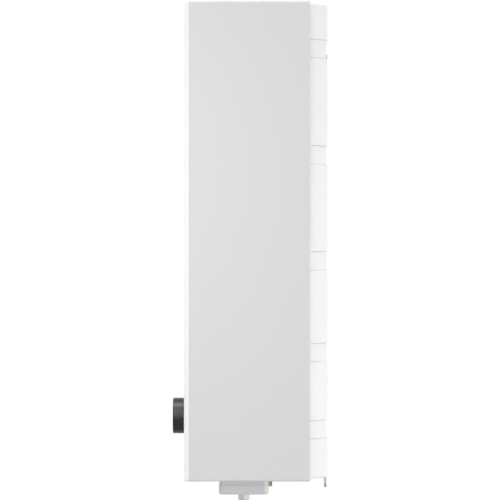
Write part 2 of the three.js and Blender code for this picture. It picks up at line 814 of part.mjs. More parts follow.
// Plug flange in each neck, with its seal, heating element, sensor well and anode
const gasketThickness = 2.7;
const plugHeadHeight = 10;
const plugThread = 22;
const elementRadius = 4.25;
const elementPitch = 24;
const elementHeight = 300;
const elementSides = 8;
const terminalPinRadius = 2.2;
const terminalPinLength = 5;
const terminalDrop = 8;
const wellRadius = 3.4;
const wellBore = 2.5;
const wellOffset = 12.5;
const wellHeight = 150;
const anodeRadius = 6;
const anodeStud = 3;
const anodeOffset = 12;
const anodeHeight = 220;
const rodSegments = 12;
const plugHeadTopY = neckEndY - gasketThickness - 2 * fit;
const plugHeadBottomY = plugHeadTopY - plugHeadHeight;
const plugTopY = plugHeadTopY + plugThread;
const legX = elementPitch / 2;

function flangeGasket() {
  const low = plugHeadTopY + fit;
  return turned([
    [plugRadius + fit, low],
    [neckRadius, low],
    [neckRadius, low + gasketThickness],
    [plugRadius + fit, low + gasketThickness],
    [plugRadius + fit, low],
  ], tankSegments);
}

function elementFlange() {
  let plug = uprightHexagon(plugAcross, plugHeadBottomY, plugHeadTopY)
    .add(uprightRod(plugRadius, plugHeadTopY - fit, plugTopY, 0, 0, tankSegments));
  const low = plugHeadBottomY - overrun;
  const high = plugTopY + overrun;
  for (const side of sides) {
    plug = plug.subtract(uprightRod(elementRadius + fit, low, high, side * legX, 0, rodSegments));
  }
  return plug
    .subtract(uprightRod(wellRadius + fit, low, high, 0, wellOffset, rodSegments))
    .subtract(uprightRod(anodeStud + fit, low, high, 0, -anodeOffset, rodSegments));
}

function heatingElement() {
  const bottom = plugHeadBottomY - terminalDrop;
  const top = plugTopY + elementHeight;
  const corners = [
    new THREE.Vector3(-legX, bottom, 0),
    new THREE.Vector3(-legX, top, 0),
    new THREE.Vector3(legX, top, 0),
    new THREE.Vector3(legX, bottom, 0),
  ];
  const tube = bentTube(bentRoute(corners, legX - fit, bendSteps), elementRadius, 0, elementSides);
  return sides.reduce((left, side) => left.add(
    uprightRod(terminalPinRadius, bottom - terminalPinLength, bottom + fit, side * legX, 0, elementSides),
  ), tube);
}

function sensorWell() {
  const bottom = plugHeadBottomY - terminalDrop;
  const top = plugTopY + wellHeight;
  return turned([
    [0, top - wellRadius],
    [wellBore, top - wellRadius],
    [wellBore, bottom],
    [wellRadius, bottom],
    [wellRadius, top],
    [0, top],
  ], rodSegments);
}

function anodeRod() {
  const seat = plugTopY + fit;
  return turned([
    [0, plugHeadBottomY],
    [anodeStud, plugHeadBottomY],
    [anodeStud, seat],
    [anodeRadius, seat],
    [anodeRadius, seat + anodeHeight],
    [0, seat + anodeHeight],
  ], rodSegments);
}

// Water ways: nipples, rings, inlet diffuser, riser and the pipe between the tanks
const ringRadius = 16;
const ringHeight = 6;
const ringChamfer = 1;
const diffuserWall = 2;
const diffuserOverlap = 8;
const diffuserWindow = 7;
const riserLength = 700;
const riserSeat = 20;
const riserWall = 1;

function nipple() {
  const root = nippleRadius - nippleRootDepth;
  const thread = [];
  for (let turn = 0; turn < threadTurns; turn += 1) {
    const start = nippleEndY + threadPitch * (turn + 1 / 2);
    thread.push([root, start], [nippleRadius, start + threadPitch / 2]);
  }
  return turned([
    [nippleBore, nippleTopY],
    [nippleBore, nippleEndY],
    [root, nippleEndY],
    ...thread,
    [nippleRadius, nippleTopY],
    [nippleBore, nippleTopY],
  ], nippleSegments);
}

function nippleRing() {
  const inner = nippleRadius + fit;
  const top = casingBottomY - fit;
  const low = top - ringHeight;
  return turned([
    [inner, top],
    [inner, low],
    [ringRadius - ringChamfer, low],
    [ringRadius, low + ringChamfer],
    [ringRadius, top],
    [inner, top],
  ], nippleSegments);
}

function inletDiffuser() {
  const inner = nippleRadius + fit;
  const low = nippleTopY - diffuserOverlap;
  const roof = nippleTopY + fit + diffuserWindow;
  const cup = turned([
    [0, roof],
    [inner, roof],
    [inner, low],
    [inner + diffuserWall, low],
    [inner + diffuserWall, roof + diffuserWall],
    [0, roof + diffuserWall],
  ], nippleSegments);
  const reach = inner + diffuserWall + overrun;
  const half = diffuserWindow / 2;
  return cup
    .subtract(block(-reach, reach, nippleTopY + fit, roof - fit, -half, half))
    .subtract(block(-half, half, nippleTopY + fit, roof - fit, -reach, reach));
}

function hotRiser() {
  const outer = nippleBore - fit;
  const bottom = nippleTopY - riserSeat;
  return turned([
    [outer - riserWall, bottom + riserLength],
    [outer - riserWall, bottom],
    [outer, bottom],
    [outer, bottom + riserLength],
    [outer - riserWall, bottom + riserLength],
  ], boltSegments);
}

function crossoverPipe() {
  const top = tankTopY + crossoverRise;
  const corners = [
    new THREE.Vector3(crossoverX, tankTopY - domeDepth - crossoverDip, tankZ),
    new THREE.Vector3(crossoverX, top, tankZ),
    new THREE.Vector3(-crossoverX, top, tankZ),
    new THREE.Vector3(-crossoverX, tankTopY - dipTubeLength, tankZ),
  ];
  return bentTube(bentRoute(corners, pipeBend, bendSteps), pipeRadius, pipeBore, pipeSides);
}

// Service cover under the casing, with bays at its rear for the two pipe ends
const coverSideMargin = 52;
const coverDepth = 91.4;
const coverDrop = 29.3;
const coverForward = 10.7;
const coverWall = 2;
const coverCorner = 10.5;
const coverBottomRound = 5.5;
const coverStepDrop = 13.7;
const coverStep = 0.7;
const bayWidth = 40;
const bayDepth = 22;
const coverWidth = casingWidth - 2 * coverSideMargin;
const coverZ = tankZ + coverForward;
const coverRearZ = coverZ - coverDepth / 2;
const coverFrontZ = coverZ + coverDepth / 2;
const coverTopY = casingBottomY - fit;
const coverBottomY = casingBottomY - coverDrop;
const coverInnerY = coverBottomY + coverWall;

// Screws that hold the cover, one in a boss near each corner
const bossRadius = 5;
const bossInset = 9.5;
const coverScrewRadius = 2;
const coverScrewHead = 3.8;
const coverScrewHeadHeight = 2.6;
const coverScrewSink = 4;
const coverScrewPoint = 2.6;
const bossX = coverWidth / 2 - coverStep - bossInset;
const bossZs = [coverRearZ + coverStep + bossInset, coverFrontZ - coverStep - bossInset];

function coverForm(wall, topY) {
  const halfWidth = coverWidth / 2 - wall;
  const halfDepth = coverDepth / 2 - wall;
  const radius = coverCorner - wall;
  const stepY = casingBottomY - coverStepDrop;
  const outlineAt = (inset) => roundedOutline(halfWidth - inset, halfDepth - inset, radius - inset);
  const ring = (inset, y) => levelRing(outlineAt(inset), y, coverZ);
  const low = coverBottomY + wall;
  const round = coverBottomRound - wall;
  const edge = arcPoints(round, low + round, round, 3, 2, cornerSteps);
  return loft([
    ...edge.map(([inset, y]) => ring(inset, y)),
    ring(0, stepY),
    ring(coverStep, stepY + coverStep / 2),
    ring(coverStep, topY),
  ]);
}

function baysCut(form, wall) {
  const halfWidth = bayWidth / 2 + wall;
  const levels = [coverBottomY - overrun, casingBottomY + overrun];
  return sides.reduce((left, side) => left.subtract(
    block(side * nippleX - halfWidth, side * nippleX + halfWidth, ...levels,
      coverRearZ - overrun, coverRearZ + bayDepth + wall),
  ), form);
}

// Gland in the middle of the cover, for the mains lead
const glandThread = 8;
const glandBore = 4.5;
const glandAcross = 21.3;
const glandCollarHeight = 6;
const glandTailLength = 12;
const glandLocknutAcross = 21;
const glandLocknutHeight = 4;
const glandNutHeight = 18;
const glandDomeHeight = 6;
const glandDomeRadius = 7.5;
const glandMouth = 4.2;
const glandSealHeight = 9;
const glandThreadSpare = 2;
const glandShoulder = 1;
const glandShoulderShare = 0.93;
const glandCollarTopY = coverBottomY - fit;
const glandCollarBottomY = glandCollarTopY - glandCollarHeight;
const glandNutTopY = glandCollarBottomY - fit;
const glandNutBottomY = glandNutTopY - glandNutHeight - glandDomeHeight;
const glandTailEndY = glandNutTopY - glandTailLength;

function bored(radius, y0, y1, solid) {
  return solid.subtract(uprightRod(radius, y0 - overrun, y1 + overrun, 0, 0, nippleSegments));
}

function glandBody() {
  const topY = coverInnerY + fit + glandLocknutHeight + glandThreadSpare;
  const body = uprightHexagon(glandAcross, glandCollarBottomY, glandCollarTopY)
    .add(uprightRod(glandThread - fit, glandTailEndY, topY, 0, 0, nippleSegments));
  return bored(glandBore, glandTailEndY, topY, body);
}

function glandLocknut() {
  const low = coverInnerY + fit;
  const high = low + glandLocknutHeight;
  return bored(glandThread, low, high, uprightHexagon(glandLocknutAcross, low, high));
}

function glandNut() {
  const flatEndY = glandNutTopY - glandNutHeight;
  const hexCorner = glandAcross / Math.sqrt(3);
  const dome = turned([
    [0, glandNutBottomY],
    [glandDomeRadius, glandNutBottomY],
    [hexCorner * glandShoulderShare, flatEndY],
    [hexCorner + overrun, flatEndY + glandShoulder],
    [hexCorner + overrun, glandNutTopY + overrun],
    [0, glandNutTopY + overrun],
  ], nippleSegments);
  const nut = uprightHexagon(glandAcross, glandNutBottomY, glandNutTopY).intersect(dome);
  const pocketEndY = glandTailEndY - glandSealHeight - 2 * fit;
  const hollow = uprightRod(glandThread, pocketEndY, glandNutTopY + overrun, 0, 0, nippleSegments);
  return bored(glandMouth, glandNutBottomY, glandNutTopY, nut.subtract(hollow));
}

function glandSeal() {
  const top = glandTailEndY - fit;
  return bored(glandMouth, top - glandSealHeight, top,
    uprightRod(glandThread - fit, top - glandSealHeight, top, 0, 0, nippleSegments));
}

// Terminal block and thermal cut-out on the underside of the casing, inside the cover
const electricsGap = 20;
const terminalBlockWidth = 42;
const cutoutWidth = 40;
const electricsDepth = 30;
const electricsHeight = 16;
const electricsFrontGap = 9;
const wireHoleRadius = 1.8;
const resetRadius = 3.5;
const resetBoreDepth = 10;
const resetTravel = 1.5;
const resetSink = 1;
const electricsTopY = casingBottomY - fit;
const electricsBottomY = electricsTopY - electricsHeight;
const electricsFrontZ = coverFrontZ - coverWall - electricsFrontGap;
const electricsZ = electricsFrontZ - electricsDepth / 2;
const resetX = electricsGap + cutoutWidth / 2;
const resetTopY = electricsBottomY + resetBoreDepth - resetTravel - 2 * fit;

function terminalBlock() {
  const x1 = -electricsGap;
  const x0 = x1 - terminalBlockWidth;
  const rearZ = electricsFrontZ - electricsDepth;
  let body = block(x0, x1, electricsBottomY, electricsTopY, rearZ, electricsFrontZ);
  const ways = 3;
  for (let way = 0; way < ways; way += 1) {
    const x = x0 + terminalBlockWidth * (way + 1 / 2) / ways;
    const y = electricsBottomY + electricsHeight / 2;
    const through = [rearZ - overrun, electricsFrontZ + overrun];
    body = body.subtract(outwardRod(wireHoleRadius, ...through, x, y, elementSides));
  }
  return body;
}

function thermalCutout() {
  const rearZ = electricsFrontZ - electricsDepth;
  const outerX = electricsGap + cutoutWidth;
  return block(electricsGap, outerX, electricsBottomY, electricsTopY, rearZ, electricsFrontZ)
    .subtract(uprightRod(resetRadius + fit, electricsBottomY - overrun, electricsBottomY + resetBoreDepth,
      resetX, electricsZ, rodSegments));
}

function resetButton() {
  return uprightRod(resetRadius, coverBottomY + resetSink, resetTopY, resetX, electricsZ, rodSegments);
}

function serviceCover() {
  const hollow = baysCut(coverForm(coverWall, casingBottomY + overrun), coverWall);
  let cover = baysCut(coverForm(0, coverTopY), 0).subtract(hollow);
  for (const side of sides) {
    for (const z of bossZs) {
      const x = side * bossX;
      const headY = coverBottomY + coverScrewSink;
      const endY = coverTopY + overrun;
      cover = cover
        .add(uprightRod(bossRadius, coverInnerY - fit, coverTopY, x, z, rodSegments))
        .subtract(uprightRod(coverScrewHead + fit, coverBottomY - overrun, headY, x, z, rodSegments))
        .subtract(uprightRod(coverScrewRadius + fit, headY - fit, endY, x, z, rodSegments));
    }
  }
  const low = coverBottomY - overrun;
  const high = coverInnerY + overrun;
  return cover
    .subtract(uprightRod(glandThread, low, high, 0, coverZ, nippleSegments))
    .subtract(uprightRod(resetRadius + 2 * fit, low, high, resetX, electricsZ, rodSegments));
}

function coverScrew() {
  const seatY = coverBottomY + coverScrewSink - fit;
  const pointY = casingBottomY + coverScrewPoint + fit;
  return uprightRod(coverScrewHead, seatY - coverScrewHeadHeight, seatY, 0, 0, rodSegments)
    .add(uprightRod(coverScrewRadius, seatY - fit, pointY, 0, 0, elementSides));
}

// Leads from the terminal block and the cut-out to the two elements
const leadRadius = 1.2;
const leadBend = 4;
const leadSides = 6;
const leadDrop = 3.5;

function elementLead(side) {
  const pinX = side * (tankX - legX);
  const pinY = plugHeadBottomY - terminalDrop - terminalPinLength - fit;
  const endX = side * (electricsGap + (side > 0 ? cutoutWidth : terminalBlockWidth)) + side * fit;
  const y = electricsBottomY + electricsHeight / 2 - leadDrop;
  const corners = [
    new THREE.Vector3(endX, y, electricsZ),
    new THREE.Vector3(pinX, y, electricsZ),
    new THREE.Vector3(pinX, y, tankZ),
    new THREE.Vector3(pinX, pinY, tankZ),
  ];
  return bentTube(bentRoute(corners, leadBend, bendSteps), leadRadius, 0, leadSides);
}

// Assembly
addPiece('casing_band', casingBand(), sideEnamel);
addPiece('front_panel', frontPanel(), frontEnamel);
addPiece('rear_shell', rearShell(), rearEnamel);
addPiece('insulation_front', frontInsulation(), foam);
addPiece('insulation_rear', rearInsulation(), foam);

for (const side of sides) {
  const vessel = new THREE.Group();
  vessel.position.set(side * tankX, 0, tankZ);
  heater.add(vessel);
  const suffix = sideName(side);
  addPiece(`tank_${suffix}`, tank(side), tankSteel, vessel);
  addPiece(`flange_gasket_${suffix}`, flangeGasket(), rubber, vessel);
  addPiece(`element_flange_${suffix}`, elementFlange(), brass, vessel);
  addPiece(`heating_element_${suffix}`, heatingElement(), elementSteel, vessel);
  addPiece(`sensor_well_${suffix}`, placed(sensorWell(), 0, 0, wellOffset), elementSteel, vessel);
  addPiece(`anode_rod_${suffix}`, placed(anodeRod(), 0, 0, -anodeOffset), magnesium, vessel);
  addPiece(`element_lead_${suffix}`, elementLead(side), side > 0 ? redPlastic : bluePlastic);

  const pipeEnd = new THREE.Group();
  pipeEnd.position.set(side * nippleX, 0, nippleZ);
  heater.add(pipeEnd);
  const water = side > 0 ? 'cold' : 'hot';
  addPiece(`${water}_nipple`, nipple(), brass, pipeEnd);
  addPiece(`${water}_ring`, nippleRing(), side > 0 ? bluePlastic : redPlastic, pipeEnd);
  if (side > 0) addPiece('inlet_diffuser', inletDiffuser(), palePlastic, pipeEnd);
  else addPiece('hot_riser', hotRiser(), elementSteel, pipeEnd);
}
addPiece('crossover_pipe', crossoverPipe(), elementSteel);

for (const { name, y } of tieLevels) {
  addPiece(`${name}_tie_bar`, tieBar(y), zincSteel);
  for (const side of sides) {
    addPiece(`${name}_bolt_${sideName(side)}`, bracketBolt(side * boltX, y), zincSteel);
  }
}
addPiece('upper_bracket', upperBracket(), zincSteel);
addPiece('lower_bracket', lowerBracket(), zincSteel);

const knobSolid = knobForm();
addPiece('knob', knobSolid.subtract(pointerBlock(fit)), knobPlastic);
addPiece('knob_pointer', knobSolid.intersect(pointerBlock(0)), markPlastic);
addPiece('knob_spindle', knobSpindle(), zincSteel);
addPiece('dial_ring', dialRing(), trimPlastic);
addPiece('control_body', controlBody(), darkPlastic);
addPiece('control_screw_upper', controlScrew(knobY + controlScrewPitch / 2), zincSteel);
addPiece('control_screw_lower', controlScrew(knobY - controlScrewPitch / 2), zincSteel);
addPiece('indicator_lens', indicatorLens(), redPlastic);
addPiece('indicator_lamp', indicatorLamp(), markPlastic);

addPiece('service_cover', serviceCover(), coverPlastic);
for (const side of sides) {
  bossZs.forEach((z, row) => {
    const screw = placed(coverScrew(), side * bossX, 0, z);
    addPiece(`cover_screw_${row ? 'front' : 'rear'}_${sideName(side)}`, screw, zincSteel);
  });
}
addPiece('terminal_block', terminalBlock(), palePlastic);
addPiece('thermal_cutout', thermalCutout(), darkPlastic);
addPiece('reset_button', resetButton(), redPlastic);

const gland = new THREE.Group();
gland.position.z = coverZ;
heater.add(gland);
addPiece('gland_body', glandBody(), coverPlastic, gland);
addPiece('gland_locknut', glandLocknut(), coverPlastic, gland);
addPiece('gland_nut', glandNut(), coverPlastic, gland);
addPiece('gland_seal', glandSeal(), rubber, gland);

heater.rotation.x = Math.PI / 2;

export default heater;
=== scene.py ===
"""Looks of a flat electric water heater that hangs on a wall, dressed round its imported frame.

The frame holds every piece at its real size and place. Each class below takes one
sub-assembly, builds its finer meshes where the frame's solids stand and gives every
piece its finish. Sizes in the fields are in millimetres, and all meshes are in metres.
"""

import json
import logging
import math
from collections.abc import Callable, Iterable, Sequence
from dataclasses import dataclass, field
from enum import Enum

import bmesh
import bpy
from bmesh.types import BMEdge, BMesh, BMFace
from mathutils import Matrix, Vector

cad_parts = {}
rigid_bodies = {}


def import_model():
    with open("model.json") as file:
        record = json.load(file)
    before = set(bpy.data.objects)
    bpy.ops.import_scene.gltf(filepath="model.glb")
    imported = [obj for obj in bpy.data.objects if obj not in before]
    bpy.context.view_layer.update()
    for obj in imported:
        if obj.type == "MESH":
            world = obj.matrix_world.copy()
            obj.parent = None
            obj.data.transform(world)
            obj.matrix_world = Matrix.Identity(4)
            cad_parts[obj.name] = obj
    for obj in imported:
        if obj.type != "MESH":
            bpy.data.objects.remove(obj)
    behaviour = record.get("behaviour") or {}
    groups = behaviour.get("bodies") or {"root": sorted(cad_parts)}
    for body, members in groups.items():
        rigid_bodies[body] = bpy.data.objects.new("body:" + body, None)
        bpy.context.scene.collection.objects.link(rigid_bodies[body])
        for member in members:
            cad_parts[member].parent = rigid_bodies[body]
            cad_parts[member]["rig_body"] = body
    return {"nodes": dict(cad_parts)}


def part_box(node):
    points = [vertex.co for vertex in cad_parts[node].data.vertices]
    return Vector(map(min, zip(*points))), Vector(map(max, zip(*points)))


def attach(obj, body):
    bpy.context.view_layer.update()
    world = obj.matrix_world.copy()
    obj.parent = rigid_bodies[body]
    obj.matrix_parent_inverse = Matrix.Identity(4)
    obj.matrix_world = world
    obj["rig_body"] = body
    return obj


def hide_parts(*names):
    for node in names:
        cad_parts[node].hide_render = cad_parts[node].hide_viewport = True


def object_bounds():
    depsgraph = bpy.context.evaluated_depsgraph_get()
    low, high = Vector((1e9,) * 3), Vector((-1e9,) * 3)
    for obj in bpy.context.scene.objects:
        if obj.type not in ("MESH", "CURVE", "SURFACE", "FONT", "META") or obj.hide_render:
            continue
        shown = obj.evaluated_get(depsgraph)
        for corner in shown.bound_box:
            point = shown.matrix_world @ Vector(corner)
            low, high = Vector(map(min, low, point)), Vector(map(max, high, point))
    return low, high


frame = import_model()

LOG = logging.getLogger("water_heater")
MM = 0.001
# Distance in metres under which two coordinates count as one, and the finer one that merges doubles
TOUCH = 1e-5
MERGE = 1e-6
# How far a cutter stands out of what it cuts, and the clearance between neighbours, in millimetres
OVERRUN = 6.0
GAP = 0.3
CAD_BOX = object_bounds()

Profile = Sequence[tuple[float, float]]


# Finishes


@dataclass(frozen=True)
class Pattern:
    """The texture node that draws one kind of surface relief.

    Args:
        node: The texture node's type.
        output: The name of the output that holds the height.
        inputs: Socket values of the node.
        settings: Plain settings of the node.
        stretch: How much longer than the grain size the pattern is along X, Y and Z.
    """

    node: str
    output: str
    inputs: tuple[tuple[str, float], ...] = ()
    settings: tuple[tuple[str, str], ...] = ()
    stretch: tuple[float, float, float] = (1.0, 1.0, 1.0)


class Grain(Enum):
    """How a surface was made, which sets the pattern of its relief."""

    SPRAYED = Pattern("ShaderNodeTexNoise", "Fac", (("Detail", 1.0), ("Roughness", 0.35)))
    SPARKED = Pattern("ShaderNodeTexNoise", "Fac", (("Detail", 3.0), ("Roughness", 0.6)))
    PRESSED = Pattern("ShaderNodeTexNoise", "Fac", (("Detail", 2.0), ("Roughness", 0.5)))
    PLATED = Pattern(
        "ShaderNodeTexVoronoi", "Distance", (("Randomness", 1.0),), (("feature", "F1"),)
    )
    ROLLED = Pattern(
        "ShaderNodeTexNoise", "Fac", (("Detail", 3.0),), stretch=(14.0, 1.0, 1.0)
    )
    TURNED = Pattern(
        "ShaderNodeTexWave",
        "Fac",
        (("Distortion", 0.6), ("Detail", 2.0)),
        (("wave_type", "BANDS"), ("bands_direction", "Z")),
    )
    FOAMED = Pattern(
        "ShaderNodeTexVoronoi", "Distance", (("Randomness", 1.0),), (("feature", "F1"),)
    )


def linear(colour: str) -> tuple[float, float, float, float]:
    """Turns an sRGB hex colour into linear light.

    Args:
        colour: Six hex digits after a hash sign.

    Returns:
        Red, green, blue and an alpha of 1.
    """
    shares = [int(colour[i:i + 2], 16) / 255 for i in (1, 3, 5)]
    red, green, blue = (
        share / 12.92 if share <= 0.04045 else ((share + 0.055) / 1.055) ** 2.4
        for share in shares
    )
    return red, green, blue, 1.0


def add_node(
    tree: bpy.types.NodeTree,
    kind: str,
    inputs: dict[str | int, object] | None = None,
    **settings: object,
) -> bpy.types.Node:
    """Adds a node with its settings, and fills or links its inputs.

    Args:
        tree: The tree that gets the node.
        kind: The node's type.
        inputs: For each socket, a value or the output that it is linked to.
        settings: The node's own settings.

    Returns:
        The new node.
    """
    node = tree.nodes.new(kind)
    for key, value in settings.items():
        setattr(node, key, value)
    for key, value in (inputs or {}).items():
        if isinstance(value, bpy.types.NodeSocket):
            tree.links.new(value, node.inputs[key])
        else:
            node.inputs[key].default_value = value
    return node


@dataclass(frozen=True)
class Finish:
    """One real surface finish.

    Args:
        name: The material's common name and how its surface was made.
        slot: The record's material slot; not used.
        colour: Its sRGB colour.
        drift: The sRGB colour that it drifts towards in soft clouds.
        grain: How the surface was made.
        grain_mm: Spacing of the relief.
        relief_mm: Height of the relief.
        roughness: Mean roughness.
        spread: How far the roughness departs from its mean, up and down.
        metallic: 1 for a bare metal.
        ior: Index of refraction.
        coat: Weight of a clear top layer.
        transmission: How clear the body of the material is.
        drift_mm: Size of the colour's clouds.
    """

    name: str
    slot: str
    colour: str
    drift: str
    grain: Grain
    grain_mm: float
    relief_mm: float
    roughness: float
    spread: float = 0.04
    metallic: float = 0.0
    ior: float = 1.5
    coat: float = 0.0
    transmission: float = 0.0
    drift_mm: float = 140.0

    def material(self) -> bpy.types.Material:
        """Makes the material once.

        Returns:
            The material, the same one each time.
        """
        made = bpy.data.materials.get(self.name)
        if made is None:
            made = bpy.data.materials.new(self.name)
            made.use_nodes = True
            self._draw(made.node_tree)
        return made

    def _draw(self, tree: bpy.types.NodeTree) -> None:
        """Draws the node tree: drifting colour, uneven gloss and a fine relief.

        Args:
            tree: The material's node tree, which is emptied first.
        """
        tree.nodes.clear()
        place = add_node(tree, "ShaderNodeTexCoord").outputs["Object"]
        clouds = add_node(
            tree,
            "ShaderNodeTexNoise",
            {"Vector": place, "Scale": 1 / (self.drift_mm * MM), "Detail": 2.0},
        ).outputs["Fac"]
        colour = add_node(
            tree,
            "ShaderNodeMix",
            {"Factor": clouds, 6: linear(self.colour), 7: linear(self.drift)},
            data_type="RGBA",
        ).outputs[2]
        height = self._relief(tree, place)
        gloss = add_node(
            tree,
            "ShaderNodeMapRange",
            {
                "Value": height,
                "To Min": max(self.roughness - self.spread, 0.0),
                "To Max": min(self.roughness + self.spread, 1.0),
            },
        ).outputs["Result"]
        normal = add_node(
            tree, "ShaderNodeBump", {"Height": height, "Distance": self.relief_mm * MM}
        ).outputs["Normal"]
        sockets = {
            "Base Color": colour,
            "Roughness": gloss,
            "Normal": normal,
            "Metallic": self.metallic,
            "Coat Weight": self.coat,
            "Transmission Weight": self.transmission,
            "IOR": self.ior,
        }
        shader = add_node(tree, "ShaderNodeBsdfPrincipled", sockets)
        add_node(tree, "ShaderNodeOutputMaterial", {"Surface": shader.outputs["BSDF"]})

    def _relief(self, tree: bpy.types.NodeTree, place: bpy.types.NodeSocket) -> bpy.types.NodeSocket:
        """Draws the surface's relief.

        Args:
            tree: The material's node tree.
            place: The place on the object.

        Returns:
            The relief's height, from 0 to 1.
        """
        pattern = self.grain.value
        stretched = add_node(
            tree,
            "ShaderNodeMapping",
            {"Vector": place, "Scale": [1 / length for length in pattern.stretch]},
        ).outputs["Vector"]
        inputs = {"Vector": stretched, "Scale": 1 / (self.grain_mm * MM), **dict(pattern.inputs)}
        node = add_node(tree, pattern.node, inputs, **dict(pattern.settings))
        return node.outputs[pattern.output]


# Polyester powder baked on steel sheet: satin, with a faint orange peel. The real peel of
# 2 mm is too fine for the render, so it is drawn at 5 mm.
SIDE_ENAMEL = Finish(
    "powder_coated_steel_satin", "side_enamel", "#D9DAD9", "#D6D7D6",
    Grain.SPRAYED, 5.0, 0.012, 0.42, 0.03, drift_mm=260.0,
)
# Enamel powder, baked to a half gloss: a purer white than the sides
FRONT_ENAMEL = Finish(
    "baked_enamel_half_gloss_white", "front_enamel", "#F5F6F6", "#F3F4F4",
    Grain.SPRAYED, 6.0, 0.008, 0.34, 0.03, drift_mm=260.0,
)
# Polystyrene sheet, vacuum-formed: matt white, with the mould's soft waviness
REAR_PLASTIC = Finish(
    "vacuum_formed_polystyrene_white", "rear_plastic", "#EAEBEB", "#E8E9E9",
    Grain.PRESSED, 3.0, 0.02, 0.5, 0.06, ior=1.59, drift_mm=90.0,
)
# ABS, moulded in a finely spark-eroded tool: deep black with a soft sheen
KNOB_PLASTIC = Finish(
    "moulded_abs_black", "knob_plastic", "#060607", "#080809",
    Grain.SPARKED, 0.7, 0.01, 0.28, 0.03, drift_mm=30.0,
)
# Pad-printed ink and the pointer's inlay: flat and white
MARK_PLASTIC = Finish(
    "moulded_abs_white_inlay", "mark_plastic", "#F2F2EF", "#EEEEEA",
    Grain.SPARKED, 0.6, 0.004, 0.45, 0.04, ior=1.53, drift_mm=20.0,
)
# Screen ink, printed: the scale on the dial ring
PRINT_INK = Finish(
    "screen_ink_dark_grey", "dark_plastic", "#2A2B2E", "#303134",
    Grain.SPARKED, 0.6, 0.002, 0.5, 0.04, drift_mm=20.0,
)
# ABS with a satin silver paint, on the dial ring
TRIM_PLASTIC = Finish(
    "painted_abs_silver", "trim_plastic", "#A3A7AA", "#9A9EA2",
    Grain.SPARKED, 0.5, 0.004, 0.38, 0.05, metallic=0.35, drift_mm=25.0,
)
# Glass-filled polyamide, moulded: dead black-grey for switch bodies
DARK_PLASTIC = Finish(
    "moulded_polyamide_dark", "dark_plastic", "#26272A", "#2D2E31",
    Grain.SPARKED, 0.8, 0.015, 0.55, 0.06, ior=1.53, drift_mm=25.0,
)
# Polypropylene, moulded: slightly waxy signal colours for the two water rings
RED_PLASTIC = Finish(
    "moulded_polypropylene_red", "red_plastic", "#B8241C", "#AD1F18",
    Grain.SPARKED, 0.8, 0.008, 0.38, 0.05, ior=1.49, drift_mm=20.0,
)
BLUE_PLASTIC = Finish(
    "moulded_polypropylene_blue", "blue_plastic", "#1F5FB0", "#1A55A2",
    Grain.SPARKED, 0.8, 0.008, 0.38, 0.05, ior=1.49, drift_mm=20.0,
)
# Acrylic, moulded and clear through: the pilot light's amber-red lens
LENS_PLASTIC = Finish(
    "moulded_acrylic_red_clear", "lens_plastic", "#C9281C", "#C02418",
    Grain.SPARKED, 1.2, 0.002, 0.08, 0.02, ior=1.49, transmission=0.8, drift_mm=10.0,
)
# ABS, moulded in a smooth tool: a neutral grey with a soft gloss
COVER_PLASTIC = Finish(
    "moulded_abs_grey", "cover_plastic", "#DADBDB", "#D6D7D7",
    Grain.SPARKED, 1.0, 0.01, 0.3, 0.05, ior=1.53, drift_mm=60.0,
)
# Polyamide, moulded: the gland's slightly glossier grey
GLAND_PLASTIC = Finish(
    "moulded_polyamide_grey", "gland_plastic", "#E3E4E4", "#DFE0E0",
    Grain.SPARKED, 0.8, 0.008, 0.36, 0.05, ior=1.53, drift_mm=15.0,
)
# Polyamide, moulded and left uncoloured: the terminal block and the inlet's diffuser
PALE_PLASTIC = Finish(
    "moulded_polyamide_natural", "pale_plastic", "#DEDFDA", "#D8D8D1",
    Grain.SPARKED, 0.8, 0.01, 0.5, 0.05, ior=1.53, drift_mm=20.0,
)
# Brass, turned on a lathe and left bare: fine rings, and a skin that has dulled a little
BRASS = Finish(
    "turned_brass_dulled", "brass", "#B4A27A", "#9B8961",
    Grain.TURNED, 0.6, 0.006, 0.34, 0.08, metallic=1.0, drift_mm=8.0,
)
# Steel, zinc-plated: a cool grey skin, clouded by small crystals
ZINC_STEEL = Finish(
    "zinc_plated_steel", "zinc_steel", "#BEC1C3", "#B1B4B7",
    Grain.PLATED, 2.2, 0.006, 0.5, 0.08, metallic=1.0, drift_mm=28.0,
)
# Steel sheet, cold-rolled and enamelled inside: bare and darkened outside
TANK_STEEL = Finish(
    "rolled_steel_bare", "tank_steel", "#83878A", "#74777A",
    Grain.ROLLED, 1.2, 0.012, 0.48, 0.09, metallic=1.0, drift_mm=60.0,
)
# Nickel-chrome steel tube, drawn and annealed: the elements, wells and water pipes
ELEMENT_STEEL = Finish(
    "drawn_stainless_steel", "element_steel", "#A8A9AA", "#97989A",
    Grain.TURNED, 0.9, 0.004, 0.33, 0.08, metallic=1.0, drift_mm=20.0,
)
# Magnesium, cast: soft grey and grainy
ANODE_MAGNESIUM = Finish(
    "cast_magnesium", "anode_magnesium", "#A9ABAA", "#969897",
    Grain.PRESSED, 1.4, 0.06, 0.66, 0.1, metallic=1.0, drift_mm=12.0,
)
# Rubber, moulded: soft black with a dusty bloom
SEAL_RUBBER = Finish(
    "moulded_rubber_black", "seal_rubber", "#1E1E1F", "#2B2B2B",
    Grain.SPARKED, 0.9, 0.02, 0.8, 0.08, drift_mm=10.0,
)
# Polyurethane, foamed in place: pale yellow cells under a dull skin
FOAM = Finish(
    "foamed_polyurethane", "foam", "#EDE6CC", "#E2D8B6",
    Grain.FOAMED, 2.0, 0.4, 0.92, 0.06, drift_mm=45.0,
)


# Mesh tools

# Ease of a punched edge, and how far a punch stands out of its sheet, in millimetres
PUNCH_EASE = 0.35
PUNCH_OUT = 2.0
# A round punch is a square one whose corners take all but this much of its half width
PUNCH_FLAT = 0.01
# Turn in degrees that brings a corner of a hexagon bar onto X
HEXAGON_TURN = 30
